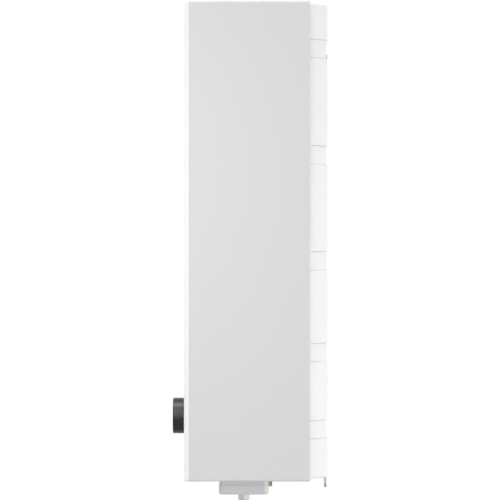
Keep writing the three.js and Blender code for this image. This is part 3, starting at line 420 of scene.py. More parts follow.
# Faces at less than this angle in degrees count as one flat face after a cut
FLAT = 0.3
# Share of an edge's length along an axis at which it counts as parallel to it
PARALLEL = 0.999
# Least angle in degrees at a sheared edge of a bent strip
SHEARED = 50


class Joint(Enum):
    """How one closed mesh is joined to another."""

    UNION = "UNION"
    CUT = "DIFFERENCE"
    KEEP_COMMON = "INTERSECT"


class Stand(Enum):
    """Which way a turned piece stands: its own Z axis up, or out of the front."""

    UP = Matrix.Identity(4)
    OUT = Matrix.Rotation(math.radians(90), 4, "X")


def block(low: Vector, high: Vector) -> BMesh:
    """Makes a box.

    Args:
        low: Its lowest corner, in metres.
        high: Its highest corner, in metres.

    Returns:
        The box.
    """
    bm = bmesh.new()
    size = Vector(high) - Vector(low)
    middle = Matrix.Translation((Vector(high) + Vector(low)) / 2)
    bmesh.ops.create_cube(bm, size=1.0, matrix=middle @ Matrix.Diagonal((*size, 1.0)))
    return bm


def rod(radius: float, low: Vector, high: Vector, axis: int, segments: int = 48) -> BMesh:
    """Makes a closed cylinder along one axis.

    Args:
        radius: Its radius in millimetres.
        low: A point on its axis at one end, in metres.
        high: A point whose coordinate along the axis is the other end.
        axis: 0, 1 or 2 for X, Y or Z.
        segments: Sides of its circle.

    Returns:
        The cylinder.
    """
    bm = bmesh.new()
    length = high[axis] - low[axis]
    centre = Vector(low)
    centre[axis] += length / 2
    turn = Vector((0, 0, 1)).rotation_difference(Vector([float(i == axis) for i in range(3)]))
    bmesh.ops.create_cone(
        bm,
        cap_ends=True,
        segments=segments,
        radius1=radius * MM,
        radius2=radius * MM,
        depth=abs(length),
        matrix=Matrix.Translation(centre) @ turn.to_matrix().to_4x4(),
    )
    return bm


def arc(x: float, y: float, radius: float, start: float, end: float, steps: int = 6) -> Profile:
    """Returns points of an arc round (x, y), from a start to an end angle in degrees."""
    angles = [math.radians(start + (end - start) * k / steps) for k in range(steps + 1)]
    return [(x + radius * math.cos(a), y + radius * math.sin(a)) for a in angles]


def lathe(profile: Profile, stand: Stand, place: Vector, steps: int = 96) -> BMesh:
    """Turns a profile into a closed body.

    Args:
        profile: Points of (radius, height), in millimetres, that end on the axis or close.
        stand: Which way the body's axis points.
        place: Where the profile's height is zero, in metres.
        steps: Steps of the full turn.

    Returns:
        The turned body.
    """
    bm = bmesh.new()
    verts = [bm.verts.new((radius * MM, 0.0, height * MM)) for radius, height in profile]
    edges = [bm.edges.new(pair) for pair in zip(verts, verts[1:])]
    bmesh.ops.spin(
        bm, geom=verts + edges, cent=(0, 0, 0), axis=(0, 0, 1),
        angle=math.tau, steps=steps, use_merge=True,
    )
    bmesh.ops.remove_doubles(bm, verts=bm.verts, dist=MERGE)
    bmesh.ops.transform(bm, matrix=Matrix.Translation(place) @ stand.value, verts=bm.verts)
    bmesh.ops.recalc_face_normals(bm, faces=bm.faces)
    return bm


def to_mesh(bm: BMesh, name: str) -> bpy.types.Mesh:
    """Turns a bmesh into a mesh.

    Args:
        bm: The bmesh, which is freed.
        name: The mesh's name.

    Returns:
        The mesh.
    """
    mesh = bpy.data.meshes.new(name)
    bm.to_mesh(mesh)
    bm.free()
    return mesh


def gather(parts: Iterable[BMesh]) -> BMesh:
    """Puts separate bodies into one bmesh.

    Args:
        parts: The bodies, which are freed.

    Returns:
        The bmesh with all of them.
    """
    bm = bmesh.new()
    for part in parts:
        mesh = to_mesh(part, "part")
        bm.from_mesh(mesh)
        bpy.data.meshes.remove(mesh)
    return bm


def combine(body: BMesh, tools: Sequence[BMesh], joint: Joint) -> BMesh:
    """Joins a closed body with others that don't touch each other.

    Args:
        body: The body that is kept.
        tools: The bodies that are added to it or cut from it.
        joint: How they are joined.

    Returns:
        The joined body.
    """
    meshes = [to_mesh(body, "body"), to_mesh(gather(tools), "tool")]
    kept, tool = (bpy.data.objects.new(mesh.name, mesh) for mesh in meshes)
    for obj in (kept, tool):
        bpy.context.scene.collection.objects.link(obj)
    modifier = kept.modifiers.new("joint", "BOOLEAN")
    modifier.operation = joint.value
    modifier.solver = "EXACT"
    modifier.object = tool
    result = bmesh.new()
    result.from_object(kept, bpy.context.evaluated_depsgraph_get())
    for obj in (kept, tool):
        bpy.data.objects.remove(obj)
    for mesh in meshes:
        bpy.data.meshes.remove(mesh)
    bmesh.ops.remove_doubles(result, verts=result.verts, dist=MERGE)
    bmesh.ops.dissolve_limit(
        result, angle_limit=math.radians(FLAT), verts=result.verts, edges=result.edges
    )
    return result


def edges_where(bm: BMesh, test: Callable[[BMEdge], bool]) -> list[BMEdge]:
    """Returns the edges that pass a test."""
    return [edge for edge in bm.edges if test(edge)]


def runs_along(axis: int) -> Callable[[BMEdge], bool]:
    """Makes a test for edges parallel to an axis.

    Args:
        axis: 0, 1 or 2 for X, Y or Z.

    Returns:
        The test.
    """

    def test(edge: BMEdge) -> bool:
        """Tells whether the edge has only a length along the axis."""
        reach = edge.verts[0].co - edge.verts[1].co
        return abs(reach[axis]) > PARALLEL * reach.length

    return test


def lies_at(axis: int, level: float) -> Callable[[BMEdge], bool]:
    """Returns a test for edges in the plane where the axis has this level, in metres."""
    return lambda edge: all(abs(vert.co[axis] - level) < TOUCH for vert in edge.verts)


def faces_at(bm: BMesh, axis: int, level: float) -> list[BMFace]:
    """Returns the faces that lie in the plane where the axis has this level, in metres."""
    return [f for f in bm.faces if all(abs(v.co[axis] - level) < TOUCH for v in f.verts)]


def sharper_than(degrees: float) -> Callable[[BMEdge], bool]:
    """Returns a test for edges whose two faces meet at more than this angle."""
    limit = math.radians(degrees)
    return lambda edge: len(edge.link_faces) == 2 and edge.calc_face_angle(0.0) > limit


def eased(path: Sequence[Vector], radius: float, steps: int = 6) -> list[Vector]:
    """Rounds the corners of an open path.

    Args:
        path: Its points, in two or three dimensions.
        radius: Radius of every corner, in the path's own unit.
        steps: Steps of each rounding.

    Returns:
        The path with its corners rounded.
    """
    points = [path[0]]
    for before, corner, after in zip(path, path[1:], path[2:]):
        one, two = (before - corner).normalized(), (after - corner).normalized()
        half = one.angle(two) / 2
        reach = radius / math.tan(half)
        centre = corner + (one + two).normalized() * radius / math.sin(half)
        first, last = corner + one * reach - centre, corner + two * reach - centre
        points += [
            centre + first.slerp(last, k / steps).normalized() * radius for k in range(steps + 1)
        ]
    return [*points, path[-1]]


def outline(half_x: float, half_y: float, corner: float, steps: int = 8) -> Profile:
    """Makes a rectangle with rounded corners round the origin.

    Args:
        half_x: Half of its width, in millimetres.
        half_y: Half of its height, in millimetres.
        corner: Radius of its corners, in millimetres.
        steps: Steps of each corner.

    Returns:
        Its points, once round.
    """
    points = []
    for quarter, (x, y) in enumerate(((1, 1), (-1, 1), (-1, -1), (1, -1))):
        start = 90 * quarter
        points += arc(
            x * (half_x - corner), y * (half_y - corner), corner, start, start + 90, steps
        )
    return points


def skin(rings: Sequence[Sequence[Vector]]) -> BMesh:
    """Makes a closed body through rings that have the same number of points.

    Args:
        rings: The points of each ring, in metres, from one end to the other.

    Returns:
        The body.
    """
    bm = bmesh.new()
    rows = [[bm.verts.new(point) for point in ring] for ring in rings]
    for low, high in zip(rows, rows[1:]):
        for k in range(len(low)):
            bm.faces.new((low[k - 1], low[k], high[k], high[k - 1]))
    for end in (rows[0], rows[-1]):
        bm.faces.new(end)
    bmesh.ops.recalc_face_normals(bm, faces=bm.faces)
    return bm


def hexagon(across: float, low: Vector, high: Vector, axis: int, ease: float = 0.6) -> BMesh:
    """Makes a six-sided bar with eased corners, one of which points along X.

    Args:
        across: Its width across the flats, in millimetres.
        low: A point on its axis at one end, in metres.
        high: A point whose coordinate along the axis is the other end.
        axis: 1 or 2 for Y or Z.
        ease: Radius of its six long edges, in millimetres.

    Returns:
        The bar.
    """
    bm = rod(across / math.sqrt(3), low, high, axis, 6)
    turn = Matrix.Rotation(math.radians(HEXAGON_TURN), 3, "XYZ"[axis])
    bmesh.ops.rotate(bm, cent=low, matrix=turn, verts=bm.verts)
    round_off(bm, edges_where(bm, runs_along(axis)), ease, 4)
    return bm


def punch(half_x: float, half_z: float, corner: float, sheet: float, middle: Vector) -> BMesh:
    """Makes a punch along Y that leaves eased edges on both faces of a sheet.

    Args:
        half_x: Half of the hole's width along X, in millimetres.
        half_z: Half of its height along Z.
        corner: Radius of its corners.
        sheet: Thickness of the sheet.
        middle: The middle of the sheet where the hole comes, in metres.

    Returns:
        The punch.
    """
    rings = []
    for y, more in ((PUNCH_OUT, PUNCH_OUT), (0.0, PUNCH_EASE), (-PUNCH_EASE, 0.0)):
        ring = outline(half_x + more, half_z + more, corner + more, 10)
        rings.append([(x, sheet / 2 + y, z) for x, z in ring])
    rings += [[(x, -y, z) for x, y, z in ring] for ring in reversed(rings)]
    return skin([[middle + Vector(point) * MM for point in ring] for ring in rings])


def round_off(bm: BMesh, edges: list[BMEdge], radius: float, segments: int = 4) -> None:
    """Rounds edges off.

    Args:
        bm: The body.
        edges: The edges.
        radius: The rounding's radius, in millimetres.
        segments: Faces across the rounding.
    """
    bmesh.ops.bevel(
        bm, geom=edges, offset=radius * MM, offset_type="OFFSET", affect="EDGES",
        segments=segments, profile=0.5, material=-1, clamp_overlap=True,
    )


def step_in(bm: BMesh, rim: list[BMEdge], axis: int, inset: float, rise: float) -> list[BMEdge]:
    """Carries an open rim on, inwards and along an axis.

    Args:
        bm: The open body.
        rim: The edges of its rim, which lies square to the axis.
        axis: 0, 1 or 2 for X, Y or Z.
        inset: How far the rim moves inwards, in millimetres.
        rise: How far it moves along the axis, in millimetres.

    Returns:
        The edges of the new rim.
    """
    grown_out = bmesh.ops.extrude_edge_only(bm, edges=rim)["geom"]
    verts = [item for item in grown_out if isinstance(item, bmesh.types.BMVert)]
    edges = [item for item in grown_out if isinstance(item, BMEdge)]
    low = Vector([min(v.co[i] for v in verts) for i in range(3)])
    high = Vector([max(v.co[i] for v in verts) for i in range(3)])
    middle, half = (low + high) / 2, (high - low) / 2
    shares = [1.0 if i == axis else (half[i] - inset * MM) / half[i] for i in range(3)]
    bmesh.ops.scale(bm, vec=shares, space=Matrix.Translation(-middle), verts=verts)
    shift = Vector([rise * MM if i == axis else 0.0 for i in range(3)])
    bmesh.ops.translate(bm, vec=shift, verts=verts)
    return edges


def open_rim(bm: BMesh) -> list[BMEdge]:
    """Returns the edges that have a face on one side only."""
    return edges_where(bm, lambda edge: edge.is_boundary)


def body_of(node: str) -> str:
    """Returns the name of the body that a node of the frame rides on."""
    return frame["nodes"][node]["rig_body"]


def middle_of(node: str) -> Vector:
    """Returns the middle of a node's box."""
    low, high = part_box(node)
    return (low + high) / 2


def box_mm(node: str) -> tuple[Vector, Vector]:
    """Returns the lowest and the highest corner of a node's box, in millimetres."""
    low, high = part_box(node)
    return low / MM, high / MM


def size_of(node: str) -> Vector:
    """Returns a node's width, depth and height, in millimetres."""
    low, high = box_mm(node)
    return high - low


def foot_of(node: str, stand: Stand = Stand.UP) -> Vector:
    """Finds the foot of a node's axis.

    Args:
        node: A node of the frame.
        stand: Whether the axis is upright or points out of the front.

    Returns:
        The low end of an upright axis, or the rear end of one that points out.
    """
    place = middle_of(node)
    low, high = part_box(node)
    if stand is Stand.UP:
        place.z = low.z
    else:
        place.y = high.y
    return place


def upright(node: str, radius: float, extra: float = 0.0, segments: int = 64) -> BMesh:
    """Makes a rod on a node's upright axis.

    Args:
        node: A node of the frame.
        radius: The rod's radius, in millimetres.
        extra: How far it stands out of the node at each end, in millimetres.
        segments: Faces round it.

    Returns:
        The rod.
    """
    foot, more = foot_of(node), Vector((0.0, 0.0, extra * MM))
    top = foot + Vector((0.0, 0.0, size_of(node).z * MM))
    return rod(radius, foot - more, top + more, 2, segments)


def show(name: str, mesh: bpy.types.Mesh, finish: Finish, body: str) -> bpy.types.Object:
    """Shows a mesh as a piece that rides on a body.

    Args:
        name: The piece's name.
        mesh: Its mesh, in place.
        finish: Its finish.
        body: The body that it rides on.

    Returns:
        The piece.
    """
    piece = bpy.data.objects.new(name, mesh)
    bpy.context.scene.collection.objects.link(piece)
    mesh.materials.append(finish.material())
    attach(piece, body)
    LOG.info("%s: %d faces, %s", name, len(mesh.polygons), finish.name)
    return piece


def dress(node: str, bm: BMesh, finish: Finish, crease: float = 32.0) -> None:
    """Makes the piece that stands for a node of the frame.

    Args:
        node: The node that the piece replaces, whose body it rides on.
        bm: The piece's mesh, in place.
        finish: Its finish.
        crease: Faces that meet at more than this angle, in degrees, stay sharp.
    """
    bmesh.ops.recalc_face_normals(bm, faces=bm.faces)
    mesh = to_mesh(bm, node)
    mesh.shade_smooth()
    mesh.set_sharp_from_angle(angle=math.radians(crease))
    piece = show(f"{node}_skin", mesh, finish, body_of(node))
    piece.modifiers.new("even_shading", "WEIGHTED_NORMAL").keep_sharp = True
    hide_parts(node)


# Sub-assemblies

COVER_SCREWS = tuple(
    f"cover_screw_{end}_{side}" for side in ("right", "left") for end in ("rear", "front")
)
BRACKET_BOLTS = tuple(
    f"{height}_bolt_{side}" for height in ("upper", "lower") for side in ("right", "left")
)


@dataclass
class Casing:
    """The wrapped steel casing: a band, and a shallow front panel that slides into it."""

    sheet: float = 1.2
    band_corner: float = 4.0
    band_round: float = 2.5
    band_flange: float = 18.0
    panel_corner: float = 4.8
    panel_round: float = 4.0
    panel_rim_inset: float = 2.3
    pipe_hole: float = 12.5
    service_hole: float = 33.0
    screw_hole: float = 2.3
    spindle_hole: float = 5.0
    lens_hole: float = 4.3
    dial_inner: float = 36.0
    dial_outer: float = 50.0

    def build(self) -> None:
        """Builds the band and the front panel."""
        self.band()
        self.panel()

    def band(self) -> None:
        """Builds the four flat sides with their rounded rear edge and turned-in flange."""
        low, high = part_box("casing_band")
        bm = block(low, high)
        round_off(bm, edges_where(bm, runs_along(1)), self.band_corner, 6)
        round_off(bm, edges_where(bm, lies_at(1, high.y)), self.band_round, 6)
        ends = faces_at(bm, 1, low.y) + faces_at(bm, 1, high.y)
        bmesh.ops.delete(bm, geom=ends, context="FACES")
        rear = [edge for edge in open_rim(bm) if lies_at(1, high.y)(edge)]
        step_in(bm, rear, 1, self.band_flange - self.band_round, 0.0)
        bmesh.ops.recalc_face_normals(bm, faces=bm.faces)
        bmesh.ops.solidify(bm, geom=bm.faces, thickness=self.sheet * MM)
        dress("casing_band", combine(bm, list(self._floor_holes(low.z)), Joint.CUT), SIDE_ENAMEL)

    def _floor_holes(self, floor: float) -> Iterable[BMesh]:
        """Makes a drill for each hole in the band's lower side.

        Args:
            floor: Z of that side, in metres.

        Yields:
            The drills.
        """
        reach = Vector((0.0, 0.0, OVERRUN * MM))
        holes = {
            "cold_nipple": self.pipe_hole,
            "hot_nipple": self.pipe_hole,
            "flange_gasket_right": self.service_hole,
            "flange_gasket_left": self.service_hole,
            **dict.fromkeys(COVER_SCREWS, self.screw_hole),
        }
        for node, radius in holes.items():
            middle = middle_of(node)
            middle.z = floor
            yield rod(radius, middle - reach, middle + reach, 2, 64)

    def panel(self) -> None:
        """Builds the front panel: a tray with rounded edges, and a lip behind it."""
        low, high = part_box("front_panel")
        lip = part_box("casing_band")[0].y
        rim = lip - GAP * MM
        bm = block(low, Vector((high.x, rim, high.z)))
        round_off(bm, edges_where(bm, runs_along(1)), self.panel_corner, 8)
        round_off(bm, edges_where(bm, lies_at(1, low.y)), self.panel_round, 8)
        bmesh.ops.delete(bm, geom=faces_at(bm, 1, rim), context="FACES")
        edges = step_in(bm, open_rim(bm), 1, self.panel_rim_inset, 0.0)
        edges = step_in(bm, edges, 1, 0.0, (high.y - rim) / MM)
        edges = step_in(bm, edges, 1, self.sheet, 0.0)
        edges = step_in(bm, edges, 1, 0.0, (low.y - high.y) / MM + self.sheet)
        bmesh.ops.contextual_create(bm, geom=edges)
        bmesh.ops.recalc_face_normals(bm, faces=bm.faces)
        dress("front_panel", combine(bm, list(self._panel_holes(low.y)), Joint.CUT), FRONT_ENAMEL)

    def _panel_holes(self, face: float) -> Iterable[BMesh]:
        """Makes a cutter for each hole in the front panel, and for the dial's seat.

        Args:
            face: Y of the panel's face, in metres.

        Yields:
            The cutters.
        """
        reach = Vector((0.0, OVERRUN * MM, 0.0))
        for node, radius in {
            "knob_spindle": self.spindle_hole,
            "control_screw_upper": self.screw_hole,
            "control_screw_lower": self.screw_hole,
            "indicator_lens": self.lens_hole,
        }.items():
            middle = middle_of(node)
            middle.y = face
            yield rod(radius, middle - reach, middle + reach, 1)
        inner, outer = self.dial_inner - GAP, self.dial_outer + GAP
        seat, clear = (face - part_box("dial_ring")[1].y) / MM - GAP, OVERRUN
        section = [(inner, seat), (outer, seat), (outer, clear), (inner, clear), (inner, seat)]
        place = middle_of("dial_ring")
        place.y = face
        yield lathe(section, Stand.OUT, place, 128)


@dataclass
class RearShell:
    """The vacuum-formed shell on the wall side, with level grooves and two bracket pockets."""

    wall: float = 1.5
    slope: float = 30 / 32
    corner_round: float = 5.0
    end_round: float = 3.2
    groove_height: float = 35.2
    groove_depth: float = 2.0
    groove_run: float = 1.0
    groove_rows: int = 6
    notch_depth: float = 1.0
    notch_run: float = 0.6
    groove_shares: tuple[float, ...] = (0.1059, 0.2669, 0.4588, 0.6808, 0.9031)
    crease_drop: float = 8.7
    crease_bend: float = 0.3
    pocket_floor: float = 20.3
    pocket_corner: float = 5.0
    pocket_fillet: float = 2.5
    pocket_margin: float = 6.0
    hook_room: float = 18.0
    bolt_hole: float = 4.3

    def build(self) -> None:
        """Builds the shell as one form less a smaller one inside it."""
        self.low, self.high = box_mm("rear_shell")
        outer = self.form(0.0, self.low.y)
        inner = self.form(self.wall, self.low.y - OVERRUN)
        shell = combine(outer, [inner], Joint.CUT)
        holes = []
        reach = Vector((0.0, 2 * OVERRUN * MM, 0.0))
        for node in BRACKET_BOLTS:
            middle = middle_of(node)
            middle.y = (self.high.y - self.pocket_floor) * MM
            holes.append(rod(self.bolt_hole, middle - reach, middle + reach, 1, 32))
        dress("rear_shell", combine(shell, holes, Joint.CUT), REAR_PLASTIC)

    def form(self, wall: float, front: float) -> BMesh:
        """Makes the closed form of the shell, moved inwards by a wall.

        Args:
            wall: How far it lies inside the shell's outside.
            front: Y of its open side.

        Returns:
            The form, less the two pockets.
        """
        rings = []
        for z, depth in self.rows(wall):
            ring = self.section(wall + depth, depth, front)
            rings.append([Vector((point.x, point.y, z)) * MM for point in ring])
        bm = skin(rings)
        if not wall:
            cap = edges_where(bm, lambda edge: any(len(f.verts) > 4 for f in edge.link_faces))
            rim = set(edges_where(bm, lies_at(1, front * MM)))
            round_off(bm, [edge for edge in cap if edge not in rim], self.end_round, 5)
        return combine(bm, list(self.pockets(wall)), Joint.CUT)

    def rows(self, wall: float) -> list[tuple[float, float]]:
        """Lists the shell's level sections.

        Args:
            wall: How far the form lies inside the outside, in millimetres.

        Returns:
            The height and the groove's depth of each one, from the bottom up.
        """
        casing_low, casing_high = (corner.z for corner in box_mm("casing_band"))
        found = [(self.low.z + wall, 0.0)]
        shares = [k / self.groove_rows for k in range(self.groove_rows + 1)]
        for place in self.groove_shares:
            middle = casing_low + (casing_high - casing_low) * place
            reach = self.groove_height / 2 + wall
            foot = reach - self.groove_run - self.notch_run
            walls = [
                *((reach - self.groove_run * s, self.groove_depth * s * s * (3 - 2 * s)) for s in shares),
                (foot, self.groove_depth + self.notch_depth),
                (foot - self.notch_run, self.groove_depth),
            ]
            found += [(middle - out, depth) for out, depth in walls]
            found += [(middle + out, depth) for out, depth in reversed(walls)]
        return [*found, (self.high.z - wall, 0.0)]

    def section(self, inset: float, depth: float, front: float) -> list[Vector]:
        """Returns the shell's level outline.

        Args:
            inset: How far the outline lies inside the plain outside.
            depth: How deep the groove is there.
            front: Y of the open side.

        Returns:
            Points of X and Y, right rim first.
        """
        def width_at(y: float) -> float:
            """Returns the half width of the slanted sides."""
            return self.high.x - (y - self.low.y) * self.slope - inset * math.hypot(1, self.slope)

        back = self.high.y - inset
        crease = self.high.y - self.crease_drop
        bend = self.crease_bend * depth / self.groove_depth
        right = [Vector((width_at(crease) - bend, crease)), Vector((width_at(back), back))]
        left = [Vector((-point.x, point.y)) for point in reversed(right)]
        rim = Vector((width_at(front), front))
        return [rim, *eased([*right, *left], self.corner_round), Vector((-rim.x, rim.y))]

    def pockets(self, wall: float) -> Iterable[BMesh]:
        """Makes the bodies that press the two pockets in.

        Args:
            wall: How far the form lies inside the outside, in millimetres.

        Yields:
            The bodies.
        """
        margin = self.pocket_margin + wall
        floor = self.high.y - self.pocket_floor - wall
        for node in ("upper_bracket", "lower_bracket"):
            low, high = box_mm(node)
            top = high.z + (self.hook_room + wall if node == "upper_bracket" else margin)
            bottom = low.z - margin
            bm = block(
                Vector((low.x - margin, floor, bottom)) * MM,
                Vector((high.x + margin, self.high.y + OVERRUN, top)) * MM,
            )
            round_off(bm, edges_where(bm, runs_along(1)), self.pocket_corner + wall, 6)
            round_off(bm, edges_where(bm, lies_at(1, floor * MM)), self.pocket_fillet + wall, 5)
            yield bm


@dataclass
class ServiceCover:
    """The grey cover under the casing, with its screws and the reset button."""

    wall: float = 2.0
    corner: float = 10.5
    bottom_round: float = 5.5
    step_drop: float = 11.6
    step: float = 0.9
    step_ease: float = 0.1
    bay_half: float = 20.0
    bay_depth: float = 22.0
    bay_corner: float = 2.0
    boss: float = 5.0
    shank_hole: float = 2.3
    head_hole: float = 4.1
    head_sink: float = 4.0
    gland_hole: float = 8.0
    reset_hole: float = 4.1
    head: float = 3.8
    head_height: float = 2.6
    head_dome: float = 7.0
    head_rim: float = 1.5
    head_rim_inset: float = 0.5
    shank: float = 2.0
    edge: float = 0.3
    cross_long: float = 2.1
    cross_short: float = 0.35
    cross_depth: float = 1.4
    button_round: float = 0.8

    def build(self) -> None:
        """Builds the cover, then what sits in it."""
        self.low, self.high = box_mm("service_cover")
        self.cover()
        for node in COVER_SCREWS:
            self.screw(node)
        self.reset_button()

    def cover(self) -> None:
        """Builds the moulded cover."""
        outer = combine(self.form(0.0, self.high.z), list(self.bays(0.0)), Joint.CUT)
        hollow = combine(
            self.form(self.wall, self.high.z + OVERRUN), list(self.bays(self.wall)), Joint.CUT
        )
        cover = combine(outer, [hollow], Joint.CUT)
        columns, shafts, mouths = [], [], []
        floor, below, above = self.low.z + self.wall, self.low.z - OVERRUN, self.high.z + OVERRUN
        for node in COVER_SCREWS:
            columns.append(self.column(node, self.boss, floor - GAP, self.high.z))
            shafts.append(self.column(node, self.shank_hole, self.low.z, above))
            mouths.append(self.column(node, self.head_hole, below, self.low.z + self.head_sink))
        for node, radius in (("gland_body", self.gland_hole), ("reset_button", self.reset_hole)):
            mouths.append(self.column(node, radius, below, floor + OVERRUN))
        cover = combine(cover, columns, Joint.UNION)
        for drills in (shafts, mouths):
            cover = combine(cover, drills, Joint.CUT)
        dress("service_cover", cover, COVER_PLASTIC)

    def column(self, node: str, radius: float, low: float, high: float) -> BMesh:
        """Makes an upright rod on a node's axis.

        Args:
            node: A node of the frame.
            radius: The rod's radius, in millimetres.
            low: Z of its foot, in millimetres.
            high: Z of its top, in millimetres.

        Returns:
            The rod.
        """
        middle = middle_of(node)
        start, end = (Vector((middle.x, middle.y, z * MM)) for z in (low, high))
        return rod(radius, start, end, 2, 40)

    def form(self, wall: float, top: float) -> BMesh:
        """Makes the cover's closed form, moved inwards by a wall.

        Args:
            wall: How far it lies inside the cover's outside, in millimetres.
            top: Z of its open side.

        Returns:
            The form, without the bays.
        """
        middle = (self.low + self.high) / 2
        half = (self.high - self.low) / 2
        round_low = self.bottom_round - wall
        step_top = self.high.z - self.step_drop + self.step / 2
        levels = [
            *((round_low - across, self.low.z + self.bottom_round - up)
              for across, up in arc(0.0, 0.0, round_low, 90, 0, 7)),
            (0.0, step_top - self.step), (self.step_ease, step_top - self.step / 2),
            (self.step, step_top), (self.step, top),
        ]
        rings = []
        for inset, z in levels:
            ring = outline(half.x - wall - inset, half.y - wall - inset, self.corner - wall - inset, 10)
            rings.append([Vector((middle.x + x, middle.y + y, z)) * MM for x, y in ring])
        return skin(rings)

    def bays(self, wall: float) -> Iterable[BMesh]:
        """Makes the bodies that cut the bays for the two pipe ends.

        Args:
            wall: How far the form lies inside the outside, in millimetres.

        Yields:
            The bodies.
        """
        for node in ("cold_nipple", "hot_nipple"):
            middle = middle_of(node) / MM
            half = self.bay_half + wall
            front = self.high.y - self.bay_depth - wall
            bm = block(
                Vector((middle.x - half, front, self.low.z - OVERRUN)) * MM,
                Vector((middle.x + half, self.high.y + OVERRUN, self.high.z + 2 * OVERRUN)) * MM,
            )
            round_off(bm, edges_where(bm, runs_along(2)), self.bay_corner, 5)
            yield bm

    def screw(self, node: str) -> None:
        """Builds a screw that points up, with a domed pan head and a cross recess under it.

        Args:
            node: The screw's node.
        """
        length = size_of(node).z
        dome = arc(0.0, self.head_dome, self.head_dome, -90, -64, 6)
        profile = [
            *((r, z) for r, z in dome if r < self.head - self.head_rim_inset),
            (self.head, self.head_rim), (self.head, self.head_height - self.edge),
            (self.head - self.edge, self.head_height), (self.shank, self.head_height),
            (self.shank, length - 2 * self.shank), (self.edge, length), (0.0, length),
        ]
        foot = foot_of(node)
        screw = lathe(profile, Stand.UP, foot, 48)
        for x, y in ((self.cross_long, self.cross_short), (self.cross_short, self.cross_long)):
            low, high = Vector((-x, -y, -OVERRUN)), Vector((x, y, self.cross_depth))
            screw = combine(screw, [block(foot + low * MM, foot + high * MM)], Joint.CUT)
        dress(node, screw, ZINC_STEEL)

    def reset_button(self) -> None:
        """Builds the red button, whose rounded end is pressed from below."""
        size = size_of("reset_button")
        radius, ease = size.x / 2, self.button_round
        profile = [
            (0.0, 0.0), *arc(radius - ease, ease, ease, -90, 0, 6), (radius, size.z - self.edge),
            (radius - self.edge, size.z), (0.0, size.z),
        ]
        button = lathe(profile, Stand.UP, foot_of("reset_button"), 48)
        dress("reset_button", button, RED_PLASTIC)


@dataclass
class Gland:
    """The cable gland under the cover: locknut, threaded body, seal and dome nut."""

    across: float = 21.3
    locknut_across: float = 21.0
    bore: float = 4.5
    thread: float = 7.7
    collar: float = 6.0
    mouth: float = 4.2
    mouth_round: float = 1.2
    dome_height: float = 6.0
    dome_radius: float = 7.5
    shoulder: float = 2.0
    shoulder_share: float = 0.93
    edge: float = 0.5

    def build(self) -> None:
        """Builds the four pieces round the gland's axis."""
        self.body()
        self.nut()
        self.finish("gland_seal", upright("gland_seal", self.thread), self.mouth, SEAL_RUBBER)
        locknut = self.bar(self.locknut_across, foot_of("gland_locknut"), size_of("gland_locknut").z)
        self.finish("gland_locknut", locknut, self.thread + GAP, GLAND_PLASTIC)

    def finish(self, node: str, bm: BMesh, bore: float, finish: Finish) -> None:
        """Drills a body through along its node's axis and dresses the node with it."""
        drill = upright(node, bore, OVERRUN, 48)
        dress(node, combine(bm, [drill], Joint.CUT), finish)

    def bar(self, across: float, foot: Vector, height: float) -> BMesh:
        """Makes an upright six-sided bar with its corners turned off at both ends.

        Args:
            across: Its width across the flats, in millimetres.
            foot: The low end of its axis, in metres.
            height: Its height, in millimetres.

        Returns:
            The bar.
        """
        corner, edge = across / math.sqrt(3), self.edge
        profile = [
            (0.0, 0.0), (corner - 2 * edge, 0.0), (corner, edge), (corner, height - edge),
            (corner - 2 * edge, height), (0.0, height),
        ]
        return self.turned(across, foot, height, profile)

    def turned(self, across: float, foot: Vector, height: float, profile: Profile) -> BMesh:
        """Keeps what a six-sided bar and a turned form have in common.

        Args:
            across: The bar's width across the flats, in millimetres.
            foot: The low end of the axis, in metres.
            height: The bar's height, in millimetres.
            profile: The turned form's points of radius and height, in millimetres.

        Returns:
            What they have in common.
        """
        top = foot + Vector((0.0, 0.0, height)) * MM
        form = lathe(profile, Stand.UP, foot, 96)
        return combine(hexagon(across, foot, top, 2), [form], Joint.KEEP_COMMON)

    def body(self) -> None:
        """Builds the body: a six-sided collar and a threaded tail that runs both ways."""
        foot = foot_of("gland_body")
        foot.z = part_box("gland_nut")[1].z + GAP * MM
        tail = upright("gland_body", self.thread)
        body = combine(self.bar(self.across, foot, self.collar), [tail], Joint.UNION)
        self.finish("gland_body", body, self.bore, GLAND_PLASTIC)

    def nut(self) -> None:
        """Builds the dome nut, open at the top and with a round mouth for the lead."""
        foot, height = foot_of("gland_nut"), size_of("gland_nut").z
        corner, edge = self.across / math.sqrt(3), self.edge
        wide = corner + OVERRUN
        mouth = arc(self.dome_radius - self.mouth_round, self.mouth_round, self.mouth_round, -90, -40, 4)
        profile = [
            (0.0, 0.0), *mouth, (corner * self.shoulder_share, self.dome_height),
            (wide, self.dome_height + self.shoulder), (wide, height - edge - OVERRUN / 2),
            (corner - 2 * edge, height), (0.0, height),
        ]
        nut = self.turned(self.across, foot, height, profile)
        hollow_foot = foot_of("gland_seal") - Vector((0.0, 0.0, GAP * MM))
        hollow_top = foot + Vector((0.0, 0.0, height + OVERRUN)) * MM
        hollow = rod(self.thread + GAP, hollow_foot, hollow_top, 2, 64)
        self.finish("gland_nut", combine(nut, [hollow], Joint.CUT), self.mouth, GLAND_PLASTIC)


